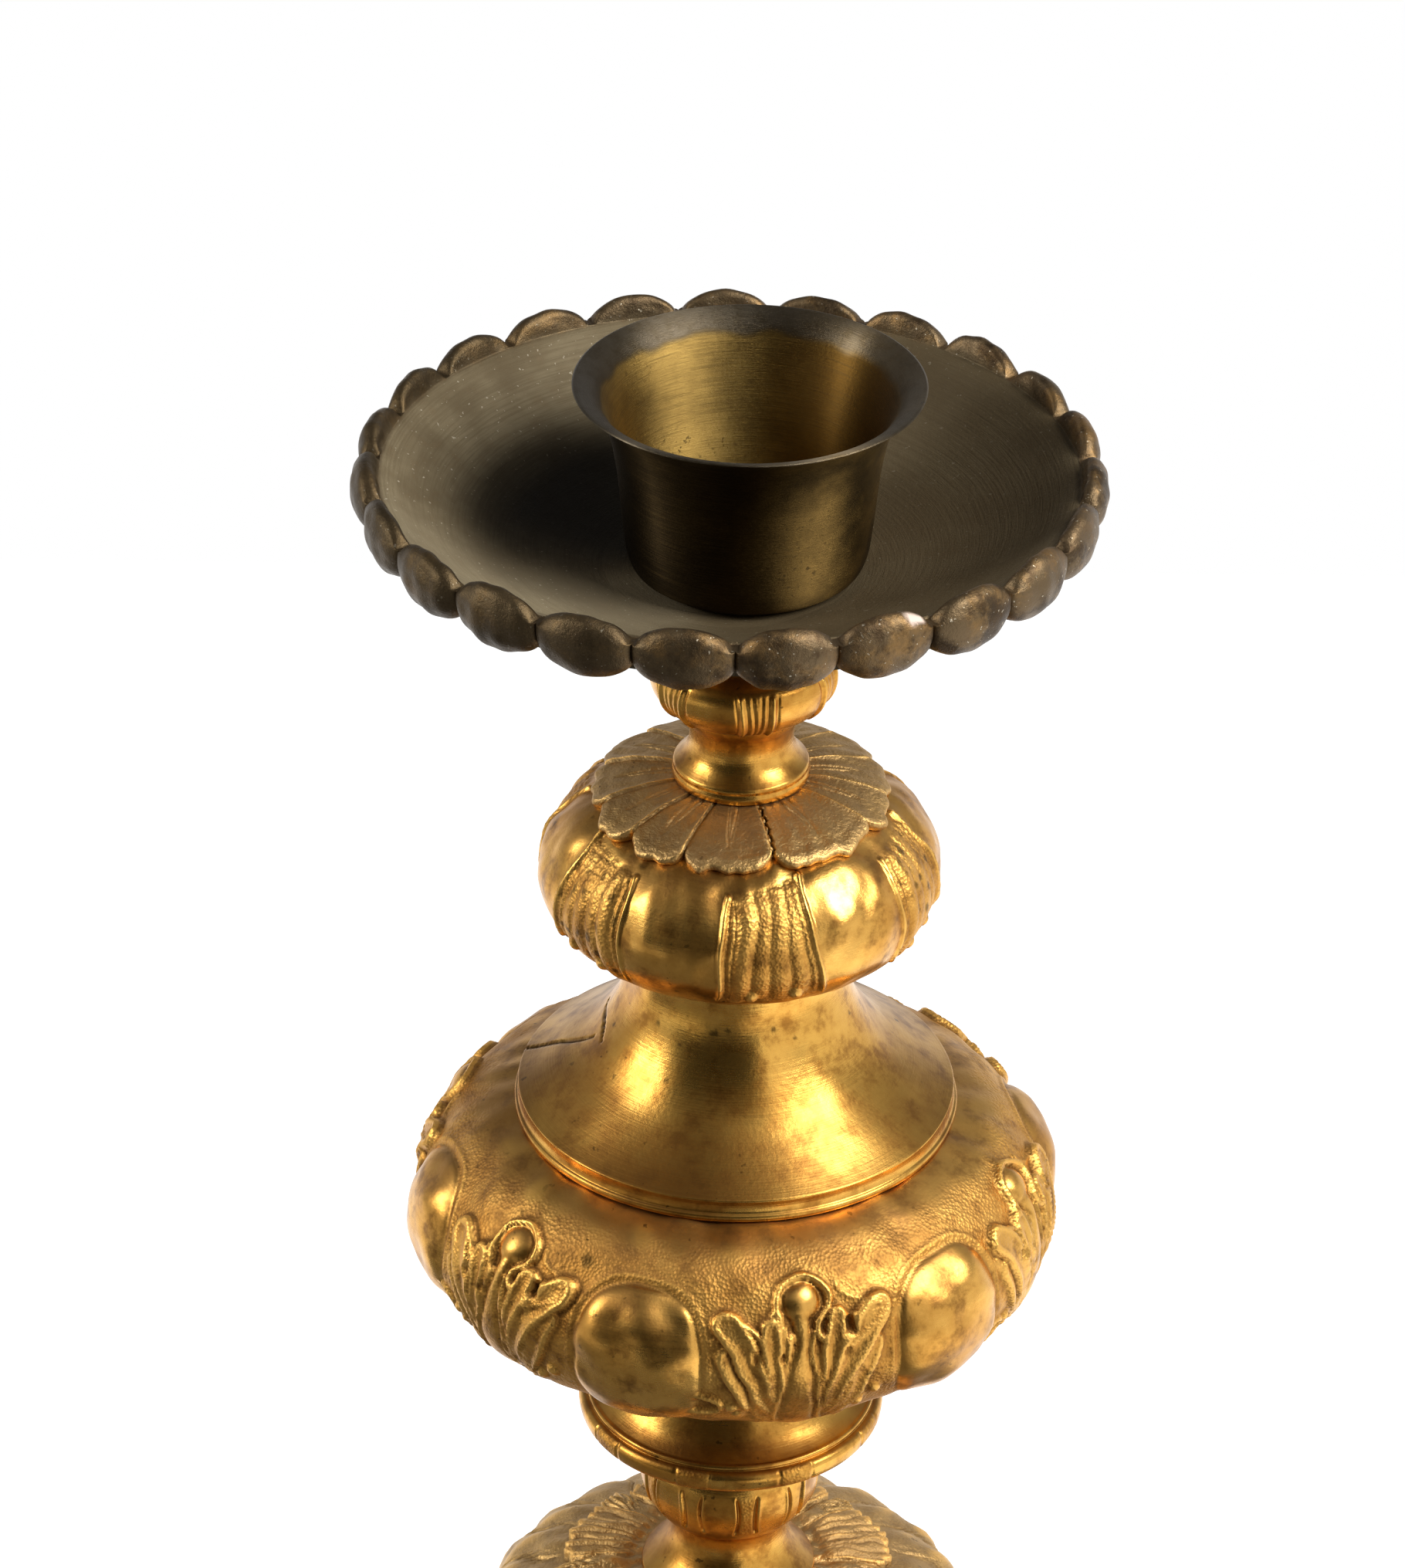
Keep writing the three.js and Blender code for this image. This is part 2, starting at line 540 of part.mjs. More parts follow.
function sleeves() {
  sleeve("upper_sleeve", zTrumpet + TRUMPET.height, zUpperKnop + UPPER_KNOP.height - UPPER_KNOP.wall);
  sleeve("vase_sleeve", zVase + VASE_KNOP.wall, zTrumpet + TRUMPET.height - TRUMPET.wall);
  sleeve("lower_sleeve", zLowerKnop + LOWER_KNOP.wall, zLowerKnop + LOWER_KNOP.height - LOWER_KNOP.wall);
  sleeve("base_sleeve", zBridge + BRIDGE.height, zBaseTrumpet + BASE_TRUMPET.height - BASE_TRUMPET.wall);
}

cup();
pan();
capital();
spool();
petalCollar();
add("upper_knop", turned(sheet(upperKnopPath(), UPPER_KNOP.wall), MEDIUM), AGED_GILT, zUpperKnop);
trumpet("trumpet_neck", TRUMPET, zTrumpet);
vaseKnop();
dishCollar();
smallKnop();
lowerNeck();
lowerKnop();
stemRing();
trumpet("base_trumpet", BASE_TRUMPET, zBaseTrumpet);
baseDome();
baseRim();
feet();
bridge();
tie();
sleeves();

export default group;
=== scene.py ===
"""A gilded altar candlestick with a loose bronze drip pan and a spun brass candle cup.

Turned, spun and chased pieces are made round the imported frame. Outlines are in millimetres above the
underside of the piece they belong to, and run down its outside; azimuths are in degrees from the front.
"""

import logging
import math
from dataclasses import dataclass
from enum import Enum
from typing import Iterable

import bmesh
import bpy
import numpy as np
from mathutils import Matrix, Vector


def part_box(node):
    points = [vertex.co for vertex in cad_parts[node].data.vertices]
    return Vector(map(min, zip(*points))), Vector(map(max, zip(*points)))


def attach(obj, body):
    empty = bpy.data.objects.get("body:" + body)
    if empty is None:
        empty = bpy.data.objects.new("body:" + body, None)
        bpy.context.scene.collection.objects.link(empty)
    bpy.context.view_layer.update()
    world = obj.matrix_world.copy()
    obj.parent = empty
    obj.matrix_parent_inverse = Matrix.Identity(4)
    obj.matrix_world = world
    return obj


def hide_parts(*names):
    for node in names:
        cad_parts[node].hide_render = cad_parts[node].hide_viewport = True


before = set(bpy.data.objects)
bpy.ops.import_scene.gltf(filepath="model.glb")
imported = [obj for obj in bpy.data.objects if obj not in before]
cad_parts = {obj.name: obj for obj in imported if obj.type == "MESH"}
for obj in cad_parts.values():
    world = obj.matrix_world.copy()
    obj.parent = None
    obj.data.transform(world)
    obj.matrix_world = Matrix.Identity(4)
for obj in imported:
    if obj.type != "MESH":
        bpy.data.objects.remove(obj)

log = logging.getLogger("candlestick")

MM = 0.001
BORE = 5.6  # radius of the hole for the tie rod
TINY = 1e-9  # stands in for a length of nothing
SPAN_SAMPLES = 16  # points on a curve between two given ones
EDGE_SAMPLES = 5  # points on a rounded edge
POLE_RADIUS = 1e-6  # radius in millimetres under which points lie on the axis
POLE_JOIN = 1e-6  # distance in metres within which such points are one
HOLLOW_PASSES = 9  # how widely a surface is averaged to find its hollows
Array = np.ndarray
Socket = bpy.types.NodeSocket
Colour = tuple[float, float, float]
Place = tuple[float, float, float]
Point = tuple[float, float]
Run = tuple[Point, ...]
Runs = tuple[Run, ...]
EVERYWHERE: Point = (-1e9, 1e9)  # a band that takes in every arc
Spots = tuple[tuple[float, float, float], ...]  # azimuth, arc and radius of each
Uneven = tuple[float, int, float]  # height, seed and shortest wave
Stroke = tuple[Run, float, float]  # its line, width and height
Bump = tuple[float, float, float, float, float]  # across, along, its two half widths and its height


class Body(Enum):
    """The frame's bodies, which move apart when the stand is taken to pieces."""

    STAND = "stand"
    PAN = "pan"
    CUP = "cup"


class Slot(Enum):
    """The record's names for the finishes."""

    GILT = "gilt_brass"
    AGED = "aged_gilt"
    BRONZE = "dark_bronze"
    BRASS = "worn_brass"
    STEEL = "steel"
    FELT = "felt"


class Finish(Enum):
    """The finishes that the pieces share, by the names of their materials."""

    GILT = "spun_gilt"
    CHASED = "chased_gilt"
    CAST = "cast_gilt"
    BRONZE = "dusty_bronze"
    BRASS = "spun_brass"
    STEEL = "forged_steel"
    FELT = "green_felt"


def chain(start: Point, *stretches: Point | Run) -> Runs:
    """Joins stretches end to end.

    Args:
        start: where the first stretch starts, as radius and height.
        stretches: a point for a straight line to it, or points for a smooth curve through them.

    Returns:
        One run for each stretch.
    """
    runs = []
    for stretch in stretches:
        curve = stretch if isinstance(stretch[0], tuple) else (stretch,)
        runs.append((start, *curve))
        start = curve[-1]
    return tuple(runs)


def smooth_run(run: Run, spacing: float) -> Array:
    """Draws a smooth curve through the points of a run and samples it evenly.

    Args:
        run: points as radius and height; two points make a straight line.
        spacing: the distance between samples in millimetres.

    Returns:
        The samples, one row each.
    """
    points = np.array(run, float)
    if len(points) > 2:
        chord = np.hypot(*np.diff(points, axis=0).T)
        slope = np.diff(points, axis=0) / chord[:, None]
        weight = (chord[:-1] / (chord[:-1] + chord[1:]))[:, None]
        inner = slope[:-1] * (1 - weight) + slope[1:] * weight
        tangent = np.vstack([2 * slope[0] - inner[0], inner, 2 * slope[-1] - inner[-1]])
        share = np.linspace(0, 1, SPAN_SAMPLES, endpoint=False)[:, None]
        spans = []
        for i, length in enumerate(chord):
            start, end = points[i], points[i + 1]
            rise = share * share * (3 - 2 * share)
            lead = (share**3 - 2 * share**2 + share) * length * tangent[i]
            trail = (share**3 - share**2) * length * tangent[i + 1]
            spans.append(start + (end - start) * rise + lead + trail)
        points = np.vstack([*spans, points[-1:]])
    reach = arc_of(points)
    count = max(2, math.ceil(reach[-1] / spacing) + 1)
    even = np.linspace(0, reach[-1], count)
    return np.stack([np.interp(even, reach, points[:, k]) for k in range(2)], 1)


def arc_of(path: Array) -> Array:
    """Length of a path up to each of its points."""
    return np.concatenate([[0], np.cumsum(np.hypot(*np.diff(path, axis=0).T))])


def outline(runs: Iterable[Run], spacing: float, edge: float = 0.3) -> Array:
    """Joins runs end to end, with a small rounded edge where they meet.

    Args:
        runs: smooth stretches; each starts where the last one ended.
        spacing: the distance between samples in millimetres.
        edge: how far from a corner its rounding starts.

    Returns:
        The whole path, one point a row.
    """
    stretches = [smooth_run(run, spacing) for run in runs]
    path = stretches[0]
    for stretch in stretches[1:]:
        corner = stretch[0]
        before = path[: max(1, int(np.sum(np.hypot(*(path - corner).T) > edge)))]
        after = stretch[min(len(stretch) - 1, int(np.sum(np.hypot(*(stretch - corner).T) <= edge))):]
        ends = []
        for point in (before[-1], after[0]):
            away = point - corner
            length = max(float(np.hypot(*away)), TINY)
            ends.append(corner + away / length * min(edge, 0.9 * length))
        share = np.linspace(0, 1, EDGE_SAMPLES)[:, None]
        arc = (1 - share) ** 2 * ends[0] + 2 * share * (1 - share) * corner + share**2 * ends[1]
        path = np.vstack([before, arc, after])
    return path


def offset(path: Array, distance: float) -> Array:
    """Moves a path sideways, into the metal for a path that runs down the outside."""
    return path - outward(path) * distance


def outward(path: Array) -> Array:
    """Unit normals of a path, to the outside of a path that runs down it.

    Args:
        path: points as radius and height.

    Returns:
        One normal a row.
    """
    step = np.gradient(path, axis=0)
    normal = np.stack([-step[:, 1], step[:, 0]], 1)
    return normal / np.maximum(np.hypot(*normal.T), TINY)[:, None]


def smoothstep(low: float, high: float, value: Array) -> Array:
    """Share from 0 at low to 1 at high, level at both ends."""
    share = np.clip((value - low) / (high - low), 0, 1)
    return share * share * (3 - 2 * share)


def within(value: Array, start: float, full: float, last: float, end: float) -> Array:
    """Share that rises from 0 at start to 1 at full, and falls from 1 at last to 0 at end."""
    return smoothstep(start, full, value) * smoothstep(end, last, value)


def bell(distance: Array, width: float) -> Array:
    """Share that falls off from 1 where the distance is 0."""
    return np.exp(-((distance / width) ** 2))


def blurred(field: Array, passes: int) -> Array:
    """Averages a field of a turned surface with its neighbours, round and along, some times over.

    Args:
        field: rows down the surface and columns round it.
        passes: how many times.

    Returns:
        The averaged field.
    """
    for _ in range(passes):
        field = (np.roll(field, 1, 1) + 2 * field + np.roll(field, -1, 1)) / 4
        padded = np.vstack([field[:1], field, field[-1:]])
        field = (padded[:-2] + 2 * field + padded[2:]) / 4
    return field


@dataclass
class Skin:
    """The outside of a turned piece, as a grid of rows down it and columns round it."""

    azimuth: Array
    arc: Array
    radius: Array
    height: Array

    def waver(self, seed: int, length: float, waves: int = 9) -> Array:
        """Smooth unevenness of about -1 to 1, as hand work leaves.

        Args:
            seed: picks one of the patterns.
            length: the shortest wave in millimetres.
            waves: how many waves are laid over each other.

        Returns:
            The unevenness at each point of the grid.
        """
        rng = np.random.default_rng(seed)
        around = 2 * math.pi * float(np.max(self.radius))
        total = np.zeros(np.broadcast(self.arc, self.azimuth).shape)
        for _ in range(waves):
            pitch = rng.uniform(0.35, 1.0) / length
            heading = rng.uniform(0, 2 * math.pi)
            turns = round(pitch * math.cos(heading) * around)
            phase = rng.uniform(0, 2 * math.pi)
            angle = np.radians(self.azimuth) * turns + 2 * math.pi * pitch * math.sin(heading) * self.arc
            total = total + np.cos(angle + phase)
        return total / math.sqrt(waves)

    def azimuth_from(self, centre: float) -> Array:
        """Degrees round from a centre, between -180 and 180."""
        return (self.azimuth - centre + 180) % 360 - 180

    def fold(self, first: float, count: int) -> tuple[Array, Array]:
        """Distances in millimetres round the surface from the nearest of evenly spaced centres.

        Args:
            first: the azimuth of one centre.
            count: how many centres there are.

        Returns:
            The distance at each point of the grid, and the number of its centre.
        """
        step = 360 / count
        index = np.round((self.azimuth - first) / step)
        turn = self.azimuth - first - index * step
        return np.radians(turn) * self.radius, np.broadcast_to(index % count, turn.shape).astype(int)


@dataclass
class Relief:
    """What a chaser and the years did to a skin.

    Fields:
        lift: how far it stands out, in millimetres.
        grain: the share of pricked or cast grain.
        mark: the share of a stain, a crack or a chip.
    """

    lift: Array
    grain: Array
    mark: Array

    @classmethod
    def plain(cls, skin: Skin, unevenness: float = 0.0, seed: int = 1, length: float = 18.0) -> "Relief":
        """A smooth skin, with at most a little unevenness.

        Args:
            skin: the outside of the piece.
            unevenness: its height in millimetres.
            seed: picks its pattern.
            length: its shortest wave in millimetres.

        Returns:
            The relief.
        """
        flat = np.zeros(np.broadcast(skin.arc, skin.azimuth).shape)
        lift = flat + unevenness * skin.waver(seed, length) if unevenness else flat
        return cls(lift, flat.copy(), flat.copy())

    def stain(self, skin: Skin, spots: Spots, seed: int, strength: float = 0.8, rag: float = 0.16) -> None:
        """Adds ragged stains.

        Args:
            skin: the outside of the piece.
            spots: each stain's azimuth, its arc down the skin and its radius.
            seed: picks the first one's outline, and one more for each of the others.
            strength: how dark they are, from 0 to 1.
            rag: how ragged they are, as a share of their radius.
        """
        for number, (azimuth, arc, size) in enumerate(spots):
            far = np.hypot(np.radians(skin.azimuth_from(azimuth)) * skin.radius, skin.arc - arc)
            far = far + rag * size * skin.waver(seed + number, 1.4 * size)
            self.mark = np.maximum(self.mark, strength * smoothstep(size, 0.4 * size, far))

    def crack(self, skin: Skin, line: Run, width: float, depth: float) -> None:
        """Opens a crack along a line of places in degrees and in millimetres down the skin.

        Args:
            skin: the outside of the piece.
            line: the places that it runs through.
            width: its width in millimetres.
            depth: its depth in millimetres.
        """
        middle = line[0][0]
        around = float(np.interp(np.mean([arc for _, arc in line]), skin.arc[:, 0], skin.radius[:, 0]))
        path = tuple((math.radians(azimuth - middle) * around, arc) for azimuth, arc in line)
        x = np.radians(skin.azimuth_from(middle)) * around
        far, share = distance_along(x, skin.arc * np.ones_like(x), path)
        half = width / 2 * (0.35 + 0.65 * np.sin(math.pi * np.clip(share, 0.05, 0.95)))
        open_part = smoothstep(1.6 * half, 0.7 * half, far)
        self.lift = self.lift - depth * open_part
        self.mark = np.maximum(self.mark, open_part)


def distance_along(x: Array, y: Array, line: Run, spacing: float = 2.2) -> tuple[Array, Array]:
    """Distance of each point from a smooth line, and how far along the line its nearest point is.

    Args:
        x: distance round the surface.
        y: distance down the surface.
        line: points that the line runs through.
        spacing: the length of the straight stretches that stand for the line.

    Returns:
        The distances in millimetres, and the shares from 0 at the start to 1 at the end.
    """
    path = smooth_run(line, spacing)
    reach = arc_of(path)
    best = np.full(np.broadcast(x, y).shape, np.inf)
    share = np.zeros_like(best)
    for i, (a, b) in enumerate(zip(path, path[1:])):
        leg = b - a
        t = np.clip(((x - a[0]) * leg[0] + (y - a[1]) * leg[1]) / (leg @ leg), 0, 1)
        far = np.hypot(x - a[0] - t * leg[0], y - a[1] - t * leg[1])
        closer = far < best
        best = np.where(closer, far, best)
        share = np.where(closer, (reach[i] + t * (reach[i + 1] - reach[i])) / reach[-1], share)
    return best, share


def ridge(x: Array, y: Array, line: Run, width: float, height: float, taper: float = 1.0) -> Array:
    """Rounded ridge along a line, narrowing to a share of its width at the end.

    Args:
        x: distance round the surface.
        y: distance down the surface.
        line: the line that it runs along.
        width: its width in millimetres.
        height: how far it stands out.
        taper: the share of the width left at its end.

    Returns:
        How far it stands out.
    """
    far, share = distance_along(x, y, line)
    half = width / 2 * (1 + (taper - 1) * share)
    return height * np.clip(1 - (far / half) ** 2, 0, 1) ** 0.75


def blade(x: Array, y: Array, line: Run, width: float, height: float) -> Array:
    """Leaf blade along a line: narrow at its root, full before its tip, with a raised rim and a sunk vein.

    Args:
        x: distance round the surface.
        y: distance down the surface.
        line: the line that it runs along.
        width: its width in millimetres.
        height: how far it stands out.

    Returns:
        How far it stands out.
    """
    far, share = distance_along(x, y, line)
    half = width / 2 * (0.45 + 0.55 * np.sin(np.clip(share * 1.15, 0, 1) * math.pi / 2))
    inward = far / half
    body = smoothstep(1.0, 0.72, inward)
    rim = bell(inward - 0.66, 0.17)
    vein = bell(inward, 0.2) * smoothstep(1.0, 0.75, share)
    return height * body * (0.8 + 0.2 * rim - 0.22 * vein) * (0.55 + 0.45 * smoothstep(0, 0.5, share))


def dome(x: Array, y: Array, place: tuple[float, float], half: tuple[float, float], height: float) -> Array:
    """Part of an egg standing out of the surface."""
    across = ((x - place[0]) / half[0]) ** 2 + ((y - place[1]) / half[1]) ** 2
    return height * np.sqrt(np.clip(1 - across, 0, 1))


def link(made: bpy.types.Object) -> bpy.types.Object:
    """Puts a new object into the scene, and gives it back."""
    bpy.context.scene.collection.objects.link(made)
    return made


def make_mesh(name: str, points: Array, faces: Array) -> bpy.types.Object:
    """Makes a smooth-shaded object from points in millimetres and four-cornered faces.

    Args:
        name: the object's name.
        points: one point a row.
        faces: four point numbers a row, in order seen from outside.

    Returns:
        The object, linked into the scene.
    """
    mesh = bpy.data.meshes.new(name)
    mesh.vertices.add(len(points))
    mesh.vertices.foreach_set("co", (points * MM).astype(np.float32).ravel())
    mesh.loops.add(faces.size)
    mesh.loops.foreach_set("vertex_index", faces.astype(np.int32).ravel())
    mesh.polygons.add(len(faces))
    mesh.polygons.foreach_set("loop_start", np.arange(0, faces.size, 4, dtype=np.int32))
    mesh.update(calc_edges=True)
    mesh.polygons.foreach_set("use_smooth", np.ones(len(faces), bool))
    return link(bpy.data.objects.new(name, mesh))


def add_values(made: bpy.types.Object, name: str, values: Array) -> None:
    """Stores one number, or three, for each point of a mesh, for its finish to read.

    Args:
        made: the object.
        name: what the finish calls them.
        values: one row a point.
    """
    kind = "FLOAT_VECTOR" if values.ndim == 2 else "FLOAT"
    layer = made.data.attributes.new(name, kind, "POINT")
    layer.data.foreach_set("vector" if values.ndim == 2 else "value", values.astype(np.float32).ravel())


def close_poles(made: bpy.types.Object) -> None:
    """Joins the points of a turned mesh that lie together on its axis.

    Args:
        made: the object.
    """
    work = bmesh.new()
    work.from_mesh(made.data)
    bmesh.ops.remove_doubles(work, verts=work.verts, dist=POLE_JOIN)
    work.to_mesh(made.data)
    work.free()


def paint(red: int, green: int, blue: int) -> Colour:
    """A colour as a screen shows it, turned into amounts of light."""
    shares = [value / 255 for value in (red, green, blue)]
    return tuple(s / 12.92 if s <= 0.04045 else ((s + 0.055) / 1.055) ** 2.4 for s in shares)


class Nodes:
    """The nodes of a material or of the world, each made and joined in one call."""

    def __init__(self, tree: bpy.types.NodeTree) -> None:
        """Takes the tree that they go into."""
        self.tree = tree

    def feed(self, socket: Socket, value: object) -> None:
        """Gives an input its number or colour, or joins an output to it.

        Args:
            socket: the input.
            value: a number, colour or output.
        """
        if isinstance(value, Socket):
            self.tree.links.new(value, socket)
        elif socket.type == "RGBA":
            socket.default_value = (*value, 1)
        else:
            socket.default_value = value

    def add(self, kind: str, inputs: dict, **settings: object) -> bpy.types.Node:
        """Adds a node.

        Args:
            kind: the node's type, without its common beginning.
            inputs: a number, colour or output for each input, by name or number.
            settings: the node's own options.

        Returns:
            The node.
        """
        node = self.tree.nodes.new("ShaderNode" + kind)
        for name, value in settings.items():
            setattr(node, name, value)
        for key, value in inputs.items():
            self.feed(node.inputs[key], value)
        return node


class Graph(Nodes):
    """A finish's material, and the nodes that finishes are made of."""

    def __init__(self, name: str) -> None:
        """Starts a material with a bare surface shader.

        Args:
            name: the material's name.
        """
        self.colour: Colour | Socket = (0.0, 0.0, 0.0)
        self.material = bpy.data.materials.new(name)
        self.material.use_nodes = True
        super().__init__(self.material.node_tree)
        self.tree.nodes.clear()
        self.shader = self.add("BsdfPrincipled", {})
        self.add("OutputMaterial", {0: self.shader.outputs[0]})

    def place(self) -> Socket:
        """The place in the piece, in metres."""
        return self.add("TexCoord", {}).outputs["Object"]

    def turn(self) -> Socket:
        """The turn round the stem, as its cosine and sine, with the arc down the piece third."""
        return self.add("Attribute", {}, attribute_name="turn").outputs["Vector"]

    def value(self, name: str) -> Socket:
        """One number stored on each point."""
        return self.add("Attribute", {}, attribute_name=name).outputs["Fac"]

    def times(self, a: object, b: object) -> Socket:
        """Two numbers or outputs multiplied."""
        return self.add("Math", {0: a, 1: b}, operation="MULTIPLY").outputs[0]

    def plus(self, a: object, b: object) -> Socket:
        """Two numbers or outputs added."""
        return self.add("Math", {0: a, 1: b}, operation="ADD").outputs[0]

    def minus(self, a: object, b: object) -> Socket:
        """The second number or output taken from the first."""
        return self.add("Math", {0: a, 1: b}, operation="SUBTRACT").outputs[0]

    def summed(self, value: object, *parts: tuple[object, float]) -> object:
        """Adds shares of other outputs to a value.

        Args:
            value: the number or output to start from.
            parts: each output, and the share of it.

        Returns:
            The sum.
        """
        for part, share in parts:
            value = self.plus(value, self.times(part, share))
        return value

    def spread(self, value: object, low: float, high: float, to: tuple[float, float] = (0, 1)) -> Socket:
        """Stretches a value from low and high to another range, level at both ends."""
        inputs = {"Value": value, "From Min": low, "From Max": high, "To Min": to[0], "To Max": to[1]}
        return self.add("MapRange", inputs, interpolation_type="SMOOTHSTEP").outputs["Result"]

    def noise(self, place: object, scale: float, detail: float = 3, rough: float = 0.55) -> Socket:
        """Cloudy noise at a number of clouds a metre."""
        inputs = {"Vector": place, "Scale": scale, "Detail": detail, "Roughness": rough}
        return self.add("TexNoise", inputs).outputs[0]

    def cells(self, place: object, scale: float) -> Socket:
        """Distance from the middle of round cells, at a number of cells a metre."""
        return self.add("TexVoronoi", {"Vector": place, "Scale": scale}).outputs["Distance"]

    def mix(self, share: object, a: object, b: object) -> Socket:
        """Colour a where the share is 0 and b where it is 1."""
        return self.add("Mix", {0: share, 6: a, 7: b}, data_type="RGBA").outputs[2]

    def lay(self, share: object, colour: object) -> None:
        """Lays a colour over the finish's own, by a share."""
        self.colour = self.mix(share, self.colour, colour)

    def toward(self, turn: object, azimuth: float) -> Socket:
        """How near a place is to an azimuth: 1 at it, 0 at a quarter turn and -1 across from it.

        Args:
            turn: the place's turn round the stem.
            azimuth: the azimuth in degrees.

        Returns:
            The output.
        """
        angle = math.radians(azimuth)
        inputs = {0: turn, 1: (math.cos(angle), math.sin(angle), 0)}
        return self.add("VectorMath", inputs, operation="DOT_PRODUCT").outputs["Value"]

    def scaled(self, place: object, x: float, y: float, z: float) -> Socket:
        """A place stretched along its three directions."""
        return self.add("VectorMath", {0: place, 1: (x, y, z)}, operation="MULTIPLY").outputs[0]

    def bump(self, height: object, distance: float, under: object = None) -> Socket:
        """Small height differences, in metres, laid over a surface or over another bump.

        Args:
            height: a number or output.
            distance: the height in metres that 1 stands for.
            under: the bump beneath it, where there is one.

        Returns:
            The output.
        """
        inputs = {"Height": height, "Distance": distance, "Strength": 1.0}
        if under is not None:
            inputs["Normal"] = under
        return self.add("Bump", inputs).outputs[0]

    def upward(self) -> Socket:
        """How much the surface faces up: 1 on a level top, 0 on an upright wall."""
        normal = self.add("TexCoord", {}).outputs["Normal"]
        return self.add("SeparateXYZ", {0: normal}).outputs["Z"]

    def brush(self, share: float) -> None:
        """Draws highlights out across turning marks that run round the stem.

        Args:
            share: how far they are drawn out, from 0 to 1.
        """
        around = self.add("Tangent", {}, direction_type="RADIAL", axis="Z")
        self.shader.inputs["Anisotropic"].default_value = share
        self.shader.inputs["Anisotropic Rotation"].default_value = 0.25
        self.tree.links.new(around.outputs[0], self.shader.inputs["Tangent"])

    def finish(self, **sockets: object) -> bpy.types.Material:
        """Sets the shader's inputs and gives the finished material.

        Args:
            sockets: a number, colour or output by input name, with _ for a space.

        Returns:
            The material.
        """
        self.feed(self.shader.inputs["Base Color"], self.colour)
        for name, value in sockets.items():
            self.feed(self.shader.inputs[name.replace("_", " ")], value)
        return self.material


@dataclass(frozen=True)
class Gilding:
    """Fire gilding on brass: worn on what stands out, brown in what lies deep, and rougher on what faces up,
    with a painted shade laid there.
    """

    bright: Colour = paint(236, 182, 88)
    middle: Colour = paint(194, 134, 54)
    deep: Colour = paint(134, 88, 38)
    grime: Colour = paint(50, 36, 18)
    # dusty and dust: the colour and share of the painted shade that dulls what faces up.
    dusty: Colour = paint(114, 82, 41)
    dust: float = 0.72
    smooth: float = 0.19
    dull: float = 0.33
    age: float = 0.0
    rings: float = 0.08
    grain: float = 0.00004
    stipple: float = 0.00013
    brushing: float = 0.0

    def material(self, name: str) -> bpy.types.Material:
        """Builds the finish.

        Args:
            name: the material's name.

        Returns:
            The material.
        """
        g = Graph(name)
        place = g.place()
        turn = g.turn()
        hollow = g.value("hollow")
        ground = g.value("grain")
        clouds = g.noise(place, 26, 4, 0.6)
        mottle = g.noise(place, 150, 5, 0.65)
        marks = g.noise(g.scaled(turn, 1.2, 1.2, 1.6), 1.6, 2, 0.5)
        tarnish = g.plus(g.times(clouds, 0.6), g.times(mottle, 0.4))
        tarnish = g.spread(tarnish, 0.36 - 0.12 * self.age, 0.62 - 0.1 * self.age)
        g.colour = g.mix(tarnish, self.bright, self.middle)
        g.lay(g.spread(mottle, 0.48, 0.7, (0, 0.62 + 0.3 * self.age)), self.deep)
        # Painted shade: what faces up is dulled to the dusty colour, in cloudy patches.
        above = g.spread(g.upward(), 0.35, 0.96, (0, self.dust))
        above = g.times(above, g.spread(clouds, 0.3, 0.6, (0.65, 1.15)))
        g.lay(above, self.dusty)
        g.lay(g.times(ground, 0.12), self.deep)
        sunk = g.spread(hollow, 0.08, 0.9, (0, 0.9))
        g.lay(sunk, self.deep)
        g.lay(g.spread(hollow, 0.6, 1.8, (0, 0.8)), self.grime)
        g.lay(g.spread(hollow, -0.04, -0.4, (0, 0.9)), self.bright)
        specks = g.times(g.spread(g.noise(place, 420, 2, 0.5), 0.68, 0.74), g.spread(clouds, 0.4, 0.62))
        g.lay(g.times(specks, 0.7), self.grime)
        g.lay(g.times(g.value("mark"), 0.88), self.grime)
        lift = self.dull - self.smooth
        rough = g.summed(self.smooth, (tarnish, lift * 0.6), (above, 0.16), (sunk, 0.16), (ground, 0.2),
                         (marks, lift * 0.5))
        normal = g.bump(g.noise(place, 900, 3, 0.6), self.grain)
        normal = g.bump(g.times(marks, self.rings), 0.0004, normal)
        normal = g.bump(g.times(g.cells(place, 1250), ground), self.stipple, normal)
        g.brush(self.brushing)
        return g.finish(Roughness=rough, Normal=normal, Metallic=1.0)


